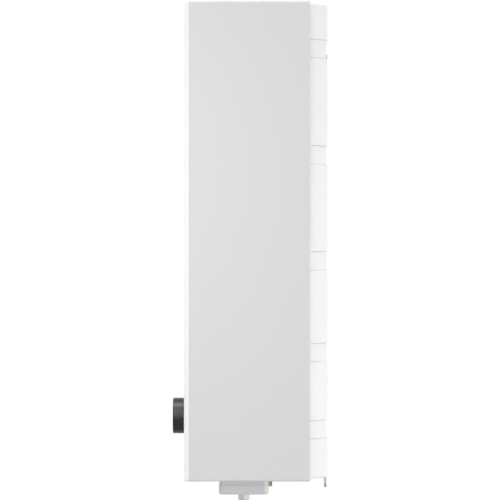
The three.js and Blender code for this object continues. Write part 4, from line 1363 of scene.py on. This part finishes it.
@dataclass
class WaterEnds:
    """The two threaded brass nipples under the casing and their coloured rings."""

    bore: float = 7.5
    pitch: float = 1.814
    turns: int = 6
    root_depth: float = 0.9
    root_sink: float = 0.3
    crest_drop: float = 0.05
    crest_share: float = 0.07
    flank_share: float = 0.4
    sink_share: float = 0.46
    thread_steps: int = 64
    start: float = 0.2
    start_rise: float = 1.1
    end_ease: float = 0.8
    crease: float = 40.0
    ring_edge: float = 1.0
    ring_ease: float = 0.5

    def build(self) -> None:
        """Builds both ends."""
        for name, finish in (("cold", BLUE_PLASTIC), ("hot", RED_PLASTIC)):
            self.nipple(f"{name}_nipple")
            self.ring(f"{name}_ring", f"{name}_nipple", finish)

    def nipple(self, node: str) -> None:
        """Builds one nipple: a plain tube with a real screw thread at its lower end.

        Args:
            node: The nipple's node.
        """
        foot, size = foot_of(node), size_of(node)
        radius, length = size.x / 2, size.z
        root = radius - self.root_depth
        threaded = self.pitch * self.turns
        profile = [
            (0.0, 0.0), (root, 0.0), (root, threaded), (radius, threaded + self.root_depth),
            (radius, length - self.end_ease), (radius - self.end_ease, length), (0.0, length),
        ]
        tube = combine(lathe(profile, Stand.UP, foot), [self.thread(root, radius, foot)], Joint.UNION)
        wide = radius + self.start
        start = [
            (0.0, 0.0), (root - self.start, 0.0), (wide, self.start_rise), (wide, length), (0.0, length)
        ]
        tube = combine(tube, [lathe(start, Stand.UP, foot)], Joint.KEEP_COMMON)
        dress(node, combine(tube, [upright(node, self.bore, OVERRUN)], Joint.CUT), BRASS, self.crease)

    def thread(self, root: float, radius: float, foot: Vector) -> BMesh:
        """Makes the helical ridge that stands on the root.

        Args:
            root: Radius of the root, in millimetres.
            radius: Radius of the nipple.
            foot: The low end of its axis, in metres.

        Returns:
            The closed ridge.
        """
        inner, crest = root - self.root_sink, radius - self.crest_drop
        sink, flank, flat = (
            share * self.pitch for share in (self.sink_share, self.flank_share, self.crest_share)
        )
        section = [
            (inner, -sink), (root, -flank), (crest, -flat), (crest, flat), (root, flank), (inner, sink)
        ]
        rings = []
        for k in range(self.thread_steps * (self.turns + 1) + 1):
            angle = math.tau * k / self.thread_steps
            rise = self.pitch * (k / self.thread_steps - 1.0)
            out = Vector((math.cos(angle), math.sin(angle), 0.0))
            rings.append([foot + (out * r + Vector((0.0, 0.0, rise + z))) * MM for r, z in section])
        return skin(rings)

    def ring(self, node: str, nipple: str, finish: Finish) -> None:
        """Builds one coloured ring with rounded lower edges round a nipple.

        Args:
            node: The ring's node.
            nipple: The nipple's node.
            finish: The ring's finish.
        """
        foot, size = foot_of(node), size_of(node)
        outer, height = size.x / 2, size.z
        inner = (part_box(nipple)[1].x - foot.x) / MM + GAP
        edge, ease = self.ring_edge, self.ring_ease
        profile = [
            (inner, height), (inner, ease), (inner + ease, 0.0),
            *arc(outer - edge, edge, edge, -90, 0, 6), (outer, height), (inner, height),
        ]
        dress(node, lathe(profile, Stand.UP, foot), finish)


@dataclass
class Mounting:
    """The two bent steel brackets on the wall side and the bolts that hold them."""

    thickness: float = 4.0
    bend: float = 3.0
    edge: float = 0.35
    upper_leg: float = -22.0
    lower_leg: float = -664.0
    slot_half_x: float = 22.0
    slot_half_z: float = 6.0
    slot_corner: float = 5.7
    slot_x: float = 62.0
    tab_corner: float = 10.0
    tab_hole: float = 4.5
    tab_hole_rise: float = 12.0
    bolt_across: float = 13.0
    bolt_edge: float = 0.3
    bolt_head: float = 5.3
    bolt_face_share: float = 0.95
    bolt_chamfer: float = 30.0
    bolt_shank: float = 4.0
    bolt_shank_ease: float = 0.7
    bolt_shank_sink: float = 1.0
    bolt_hole: float = 4.3

    def build(self) -> None:
        """Builds the brackets and the bolts."""
        self.upper_bracket()
        self.lower_bracket()
        for node in BRACKET_BOLTS:
            self.bolt(node)

    def strip(self, node: str, leg: float, wall_first: bool) -> BMesh:
        """Makes a bracket's bent strip: two upright plates and a level part between them.

        Args:
            node: The bracket's node.
            leg: Z of the level part's middle line, in millimetres.
            wall_first: Whether the upper plate lies at the wall, or the lower one.

        Returns:
            The strip.
        """
        low, high = box_mm(node)
        half = self.thickness / 2
        upper, lower = high.y - half, low.y + half
        if not wall_first:
            upper, lower = lower, upper
        path = [Vector(point) for point in ((upper, high.z), (upper, leg), (lower, leg), (lower, low.z))]
        line = eased(path, self.bend + half)
        sides = ([], [])
        for k, point in enumerate(line):
            along = (line[min(k + 1, len(line) - 1)] - line[max(k - 1, 0)]).normalized()
            across = Vector((-along.y, along.x)) * self.thickness / 2
            sides[0].append(point + across)
            sides[1].append(point - across)
        section = [*sides[0], *reversed(sides[1])]
        bm = skin([
            [Vector((x, point.x, point.y)) * MM for point in section] for x in (-high.x, high.x)
        ])
        round_off(bm, edges_where(bm, sharper_than(SHEARED)), self.edge, 2)
        return bm

    def hole(self, radius: float, middle: Vector) -> BMesh:
        """Makes the punch for a round hole through a plate."""
        return punch(radius, radius, radius - PUNCH_FLAT, self.thickness, middle)

    def bolt_holes(self, bracket: str, bolts: Sequence[str]) -> list[BMesh]:
        """Makes the punches for a bracket's two bolt holes.

        Args:
            bracket: The bracket's node.
            bolts: The nodes of its bolts.

        Returns:
            The punches.
        """
        middles = [middle_of(bolt) for bolt in bolts]
        for middle in middles:
            middle.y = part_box(bracket)[0].y + self.thickness / 2 * MM
        return [self.hole(self.bolt_hole, middle) for middle in middles]

    def upper_bracket(self) -> None:
        """Builds the bracket that hangs on the wall hooks."""
        plate = box_mm("upper_bracket")[1].y - self.thickness / 2
        punches = self.bolt_holes("upper_bracket", BRACKET_BOLTS[:2])
        slot = (self.slot_half_x, self.slot_half_z, self.slot_corner, self.thickness)
        punches += [punch(*slot, Vector((x, plate, 0.0)) * MM) for x in (-self.slot_x, self.slot_x)]
        strip = self.strip("upper_bracket", self.upper_leg, True)
        dress("upper_bracket", combine(strip, punches, Joint.CUT), ZINC_STEEL)

    def lower_bracket(self) -> None:
        """Builds the bracket whose tab is screwed to the wall under the casing."""
        low, high = box_mm("lower_bracket")
        middle = (low.z + high.z) / 2
        ring = outline(high.x, (high.z - low.z) / 2, self.tab_corner, 10)
        shear = skin([
            [Vector((x, y, middle + z)) * MM for x, z in ring]
            for y in (low.y - OVERRUN, high.y + OVERRUN)
        ])
        strip = self.strip("lower_bracket", self.lower_leg, False)
        strip = combine(strip, [shear], Joint.KEEP_COMMON)
        tab = Vector((0.0, high.y - self.thickness / 2, low.z + self.tab_hole_rise)) * MM
        punches = [
            *self.bolt_holes("lower_bracket", BRACKET_BOLTS[2:]), self.hole(self.tab_hole, tab)
        ]
        dress("lower_bracket", combine(strip, punches, Joint.CUT), ZINC_STEEL)

    def bolt(self, node: str) -> None:
        """Builds one hexagon bolt, its head towards the wall.

        Args:
            node: The bolt's node.
        """
        low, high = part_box(node)
        place = foot_of(node, Stand.OUT)
        head, corner = self.bolt_head, self.bolt_across / math.sqrt(3)
        face = self.bolt_across / 2 * self.bolt_face_share
        chamfer = (corner - face) * math.tan(math.radians(self.bolt_chamfer))
        profile = [(0.0, -head), (corner, -head), (corner, -chamfer), (face, 0.0), (0.0, 0.0)]
        form = lathe(profile, Stand.OUT, Vector(), 64)
        turn = Matrix.Translation(place) @ Matrix.Rotation(math.pi, 4, "Z")
        bmesh.ops.transform(form, matrix=turn, verts=form.verts)
        seat, start = (
            Vector((place.x, high.y - depth * MM, place.z))
            for depth in (head, head - self.bolt_shank_sink)
        )
        bar = hexagon(self.bolt_across, seat, place, 1, self.bolt_edge)
        shank = rod(self.bolt_shank, Vector((place.x, low.y, place.z)), start, 1, 40)
        round_off(shank, edges_where(shank, lies_at(1, low.y)), self.bolt_shank_ease, 2)
        bolt = combine(combine(bar, [form], Joint.KEEP_COMMON), [shank], Joint.UNION)
        dress(node, bolt, ZINC_STEEL)


@dataclass
class Control:
    """The dial on the front: knob, pointer, spindle, ring, marks, screws and pilot light."""

    knob_edge: float = 1.8
    knob_crown: float = 2.0
    knob_wall: float = 2.5
    knob_roof: float = 3.0
    crown_radii: tuple[float, ...] = (0.0, 6.0, 12.0, 18.0, 24.0, 28.5)
    roof_ease: float = 1.0
    hub: float = 6.5
    hub_ease: float = 0.6
    hub_rise: float = 3.4
    spindle_bore: float = 3.3
    spindle_bore_depth: float = 19.7
    spindle_end: float = 0.6
    base_taper: float = 0.4
    base_height: float = 3.0
    ring_inner: float = 36.0
    ring_outer: float = 50.0
    ring_edge: float = 0.25
    tick_outer: float = 43.5
    tick_inner: float = 37.5
    small_tick_inner: float = 40.0
    tick_half: float = 0.45
    small_tick_half: float = 0.25
    tick_turn: int = 15
    number_turn: int = 45
    number_radius: float = 46.6
    number_size: float = 4.6
    film: float = 0.02
    turn_each_way: int = 135
    lens_bead: float = 4.0
    lens_flange: float = 2.0
    lens_dome: float = 9.0
    screw_head: float = 2.2
    screw_round: float = 0.9
    screw_shank: float = 2.0
    screw_tip: float = 0.4

    def build(self) -> None:
        """Builds the control's pieces."""
        self.knob_radius = size_of("knob").x / 2
        self.knob()
        self.pointer()
        self.spindle()
        self.ring()
        self.marks()
        self.pilot()
        for node in ("control_screw_upper", "control_screw_lower"):
            self.screw(node)

    def crown(self, radii: Iterable[float]) -> list[tuple[float, float]]:
        """Finds points of the knob's crowned face.

        Args:
            radii: Their distances from the axis, in millimetres.

        Returns:
            The radius and the height of each one.
        """
        edge = self.knob_radius - self.knob_edge
        curve = (edge**2 + self.knob_crown**2) / (2 * self.knob_crown)
        height = size_of("knob").y
        return [(r, height - (curve - math.sqrt(curve**2 - r**2))) for r in radii]

    def knob(self) -> None:
        """Builds the hollow knob with its crowned face."""
        radius, edge, taper = self.knob_radius, self.knob_edge, self.base_taper
        corner_z = size_of("knob").y - self.knob_crown
        rim = arc(radius - edge, corner_z - edge, edge, 82, 0, 8)
        base = [(radius, self.base_height), (radius - taper, taper), (radius - 2 * taper, 0.0)]
        inner, roof = radius - self.knob_wall, corner_z - self.knob_roof
        hub, bore = self.hub, self.spindle_bore
        inside = [
            (inner, 0.0), (inner, roof - self.roof_ease), (inner - self.roof_ease, roof),
            (hub + self.hub_ease, roof), (hub, roof - self.hub_ease), (hub, self.hub_rise),
            (bore, self.hub_rise), (bore, self.spindle_bore_depth), (0.0, self.spindle_bore_depth),
        ]
        profile = [*self.crown(self.crown_radii), *rim, *base, *inside]
        knob = lathe(profile, Stand.OUT, foot_of("knob", Stand.OUT), 160)
        dress("knob", combine(knob, [self.pointer_seat()], Joint.CUT), KNOB_PLASTIC)

    def pointer_seat(self) -> BMesh:
        """Makes the bar that fills the pointer's seat in the knob and stands out in front."""
        low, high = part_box("knob_pointer")
        return block(Vector((low.x, low.y - OVERRUN * MM, low.z)), high)

    def pointer(self) -> None:
        """Builds the white inlay, which follows the knob's crown."""
        crown = self.crown(self.knob_radius * k / 24 for k in range(22))
        profile = [*crown, (crown[-1][0], 0.0), (0.0, 0.0)]
        form = lathe(profile, Stand.OUT, foot_of("knob", Stand.OUT), 160)
        pointer = combine(self.pointer_seat(), [form], Joint.KEEP_COMMON)
        dress("knob_pointer", pointer, MARK_PLASTIC)

    def spindle(self) -> None:
        """Builds the steel spindle with its rounded end."""
        size, ease = size_of("knob_spindle"), self.spindle_end
        radius, length = size.x / 2, size.y
        profile = [
            (0.0, 0.0), (radius, 0.0), (radius, length - ease), (radius - ease, length), (0.0, length)
        ]
        self.turn("knob_spindle", profile, 40, ZINC_STEEL)

    def turn(self, node: str, profile: Profile, steps: int, finish: Finish) -> None:
        """Dresses a node with a turned piece that stands out of the front."""
        dress(node, lathe(profile, Stand.OUT, foot_of(node, Stand.OUT), steps), finish)

    def ring(self) -> None:
        """Builds the flat dial ring with eased edges."""
        height, edge = size_of("dial_ring").y, self.ring_edge
        inner, outer = self.ring_inner, self.ring_outer
        profile = [
            (inner, 0.0), (inner, height - edge), (inner + edge, height), (outer - edge, height),
            (outer, height - edge), (outer, 0.0), (inner, 0.0),
        ]
        self.turn("dial_ring", profile, 160, TRIM_PLASTIC)

    def marks(self) -> None:
        """Prints the ticks and the temperatures on the dial ring."""
        middle = middle_of("dial_ring")
        middle.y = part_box("dial_ring")[0].y
        film = self.film
        place = Matrix.Translation(middle + Vector((0.0, film, 0.0)) * MM)
        parts = []
        for angle in range(-self.turn_each_way, self.turn_each_way + 1, self.tick_turn):
            large = angle % self.number_turn == 0
            inner = self.tick_inner if large else self.small_tick_inner
            half = self.tick_half if large else self.small_tick_half
            low, high = Vector((-half, -film, inner)), Vector((half, 0.0, self.tick_outer))
            tick = block(low * MM, high * MM)
            turn = Matrix.Rotation(math.radians(angle), 4, "Y")
            bmesh.ops.transform(tick, matrix=place @ turn, verts=tick.verts)
            parts.append(tick)
        for angle, number in ((-135, "30"), (-45, "45"), (45, "60"), (135, "75")):
            parts.append(self.number(number, math.radians(angle), middle))
        show("dial_marks", to_mesh(gather(parts), "dial_marks"), PRINT_INK, body_of("dial_ring"))

    def number(self, text: str, angle: float, middle: Vector) -> BMesh:
        """Makes one printed number, upright beside its tick.

        Args:
            text: The number.
            angle: Its place round the dial, from the top.
            middle: The middle of the dial ring's face.

        Returns:
            The number's mesh.
        """
        curve = bpy.data.curves.new("number", "FONT")
        curve.body = text
        curve.size = self.number_size * MM
        curve.align_x = "CENTER"
        curve.align_y = "CENTER"
        curve.extrude = self.film / 2 * MM
        letters = bpy.data.objects.new("number", curve)
        bpy.context.scene.collection.objects.link(letters)
        shaped = letters.evaluated_get(bpy.context.evaluated_depsgraph_get())
        mesh = bpy.data.meshes.new_from_object(shaped)
        bm = bmesh.new()
        bm.from_mesh(mesh)
        bmesh.ops.remove_doubles(bm, verts=bm.verts, dist=TOUCH / 100)
        bpy.data.objects.remove(letters)
        bpy.data.curves.remove(curve)
        bpy.data.meshes.remove(mesh)
        radius = self.number_radius
        out = Vector((radius * math.sin(angle), self.film / 2, radius * math.cos(angle)))
        place = Matrix.Translation(middle + out * MM)
        bmesh.ops.transform(bm, matrix=place @ Stand.OUT.value, verts=bm.verts)
        return bm

    def pilot(self) -> None:
        """Builds the pilot light's lens, whose dome stands out of the panel."""
        size = size_of("indicator_lens")
        flange, height, bead, dome = size.x / 2, size.y, self.lens_bead, self.lens_dome
        radii = [bead * k / 6 for k in range(6, -1, -1)]
        crown = [(r, height - (dome - math.sqrt(dome**2 - r**2))) for r in radii]
        profile = [
            (0.0, 0.0), (flange, 0.0), (flange, self.lens_flange), (bead, self.lens_flange), *crown
        ]
        self.turn("indicator_lens", profile, 64, LENS_PLASTIC)

    def screw(self, node: str) -> None:
        """Builds one screw that holds the thermostat, its head on the panel.

        Args:
            node: The screw's node.
        """
        size, ease, shank = size_of(node), self.screw_round, self.screw_shank
        head, length = size.x / 2, size.y
        base = length - self.screw_head
        profile = [
            (0.0, 0.0), (self.screw_tip, 0.0), (shank, shank), (shank, base), (head, base),
            (head, length - ease), *arc(head - ease, length - ease, ease, 0, 90, 5), (0.0, length),
        ]
        self.turn(node, profile, 40, ZINC_STEEL)


@dataclass
class Inside:
    """What the casing hides, kept as the frame has it and given its finish."""

    finishes: dict[str, Finish] = field(default_factory=lambda: {
        "insulation_": FOAM,
        "tank_": TANK_STEEL,
        "flange_gasket_": SEAL_RUBBER,
        "element_flange_": BRASS,
        "heating_element_": ELEMENT_STEEL,
        "sensor_well_": ELEMENT_STEEL,
        "anode_rod_": ANODE_MAGNESIUM,
        "element_lead_right": RED_PLASTIC,
        "element_lead_left": BLUE_PLASTIC,
        "inlet_diffuser": PALE_PLASTIC,
        "hot_riser": ELEMENT_STEEL,
        "crossover_pipe": ELEMENT_STEEL,
        "upper_tie_bar": ZINC_STEEL,
        "lower_tie_bar": ZINC_STEEL,
        "control_body": DARK_PLASTIC,
        "indicator_lamp": MARK_PLASTIC,
        "terminal_block": PALE_PLASTIC,
        "thermal_cutout": DARK_PLASTIC,
    })

    def build(self) -> None:
        """Gives each hidden node its finish."""
        for name, node in frame["nodes"].items():
            for start, finish in self.finishes.items():
                if name.startswith(start):
                    node.data.materials.clear()
                    node.data.materials.append(finish.material())


@dataclass
class Studio:
    """A plain white studio: camera, floor, background and soft lamps.

    Distances are metres and the powers are watts.
    """

    camera_distance: float = 4.0
    camera_reach: float = 50.0
    frame_width: float = 0.894
    camera_y: float = -0.142
    camera_z: float = -0.3357
    sensor_mm: float = 36.0
    floor_drop: float = 0.14
    floor_radius: float = 1.25
    fade_start: float = 0.35
    white: float = 1.0
    fill: float = 0.38

    def build(self) -> None:
        """Builds the studio."""
        self.camera()
        self.world()
        self.floor()
        self.lamps()

    def camera(self) -> None:
        """Places the camera square to the heater's right side, as the photograph shows it."""
        data = bpy.data.cameras.new("camera")
        data.sensor_width = self.sensor_mm
        data.lens = self.sensor_mm * self.camera_distance / self.frame_width
        data.clip_end = self.camera_reach
        camera = bpy.data.objects.new("camera", data)
        bpy.context.scene.collection.objects.link(camera)
        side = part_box("casing_band")[1].x
        camera.location = (side + self.camera_distance, self.camera_y, self.camera_z)
        camera.rotation_euler = (math.radians(90), 0.0, math.radians(90))
        bpy.context.scene.camera = camera

    def world(self) -> None:
        """Shows a white background to the camera and in gloss, and gives a softer fill."""
        world = bpy.data.worlds.new("studio")
        world.use_nodes = True
        tree = world.node_tree
        tree.nodes.clear()
        rays = seen_rays(tree)
        fill, white = (
            add_node(tree, "ShaderNodeBackground", {"Color": linear("#FFFFFF"), "Strength": strength})
            for strength in (self.fill, self.white)
        )
        mix = add_node(
            tree, "ShaderNodeMixShader",
            {0: rays, 1: fill.outputs["Background"], 2: white.outputs["Background"]},
        )
        add_node(tree, "ShaderNodeOutputWorld", {"Surface": mix.outputs["Shader"]})
        bpy.context.scene.world = world

    def floor(self) -> None:
        """Lays a pale floor that fades into the white background and is clear from below."""
        bm = bmesh.new()
        bmesh.ops.create_circle(bm, cap_ends=True, radius=self.floor_radius, segments=96)
        low, high = CAD_BOX
        middle = (low + high) / 2
        middle.z = low.z - self.floor_drop
        bmesh.ops.translate(bm, vec=middle, verts=bm.verts)
        floor = bpy.data.objects.new("floor", to_mesh(bm, "floor"))
        bpy.context.scene.collection.objects.link(floor)
        material = bpy.data.materials.new("studio_floor")
        material.use_nodes = True
        tree = material.node_tree
        tree.nodes.clear()
        place = add_node(tree, "ShaderNodeTexCoord").outputs["Object"]
        away = add_node(
            tree, "ShaderNodeVectorMath", {0: place, 1: middle}, operation="DISTANCE"
        ).outputs["Value"]
        fade = add_node(
            tree, "ShaderNodeMapRange",
            {"Value": away, "From Min": self.fade_start, "From Max": self.floor_radius},
            interpolation_type="SMOOTHSTEP",
        ).outputs["Result"]
        below = add_node(tree, "ShaderNodeNewGeometry").outputs["Backfacing"]
        unseen = add_node(tree, "ShaderNodeMath", {0: fade, 1: below}, operation="MAXIMUM")
        pale = add_node(tree, "ShaderNodeBsdfDiffuse", {"Color": linear("#DCDCDC")})
        clear = add_node(tree, "ShaderNodeBsdfTransparent")
        mix = add_node(
            tree, "ShaderNodeMixShader",
            {0: unseen.outputs["Value"], 1: pale.outputs["BSDF"], 2: clear.outputs["BSDF"]},
        )
        add_node(tree, "ShaderNodeOutputMaterial", {"Surface": mix.outputs["Shader"]})
        floor.data.materials.append(material)

    def lamps(self) -> None:
        """Sets the soft lamps round the heater."""
        low, high = CAD_BOX
        aim = (low + high) / 2
        # Each lamp's name, its place from the heater's middle, its size and its power
        for name, away, size, power in (
            ("high_strip_lamp", (1.65, -0.13, 2.15), (0.5, 2.8), 14.5),
            ("top_lamp", (0.3, -0.4, 3.0), (2.0, 2.0), 15.0),
            ("top_strip_lamp", (0.5, -0.15, 3.0), (0.5, 2.0), 18.0),
            ("camera_lamp", (3.6, -0.9, -0.2), (1.2, 1.2), 11.0),
            ("near_lamp", (1.1, -0.4, 0.15), (0.6, 0.6), 2.75),
            ("front_lamp", (-1.2, -3.0, 0.4), (2.0, 1.6), 25.0),
            ("rear_lamp", (0.8, 2.2, -0.3), (1.6, 1.6), 17.0),
            ("rear_low_lamp", (1.0, 1.5, -0.45), (1.0, 0.6), 2.8),
            ("rear_far_lamp", (-1.0, 2.8, 0.5), (2.0, 2.0), 21.0),
            ("far_lamp", (-2.6, -1.4, -0.1), (2.0, 2.0), 36.0),
        ):
            self.lamp(name, aim, Vector(away), size, power)

    def lamp(
        self, name: str, aim: Vector, away: Vector, size: tuple[float, float], power: float
    ) -> None:
        """Hangs one flat lamp that faces the heater.

        Args:
            name: The lamp's name.
            aim: The point that it faces.
            away: Where it hangs, from that point.
            size: Its width and height.
            power: Its power.
        """
        data = bpy.data.lights.new(name, "AREA")
        data.shape = "RECTANGLE"
        data.size, data.size_y = size
        data.energy = power
        lamp = bpy.data.objects.new(name, data)
        lamp.visible_camera = False
        lamp.location = aim + away
        lamp.rotation_euler = (-away).to_track_quat("-Z", "Y").to_euler()
        bpy.context.scene.collection.objects.link(lamp)


def seen_rays(tree: bpy.types.NodeTree) -> bpy.types.NodeSocket:
    """Picks the rays of the camera, of gloss and of clear bodies.

    Args:
        tree: The node tree that gets the nodes.

    Returns:
        1 for those rays, and 0 for the rest.
    """
    rays = add_node(tree, "ShaderNodeLightPath").outputs
    first = add_node(
        tree, "ShaderNodeMath",
        {0: rays["Is Camera Ray"], 1: rays["Is Glossy Ray"]}, operation="MAXIMUM",
    )
    return add_node(
        tree, "ShaderNodeMath",
        {0: first.outputs["Value"], 1: rays["Is Transmission Ray"]}, operation="MAXIMUM",
    ).outputs["Value"]


def main() -> None:
    """Builds the sub-assemblies in order and reports each piece."""
    logging.basicConfig(level=logging.INFO, format="%(name)s: %(message)s")
    bpy.context.scene.view_settings.view_transform = "Standard"
    Studio().build()
    for assembly in (
        Casing, RearShell, ServiceCover, Gland, WaterEnds, Mounting, Control, Inside
    ):
        assembly().build()


if __name__ == "__main__":
    main()
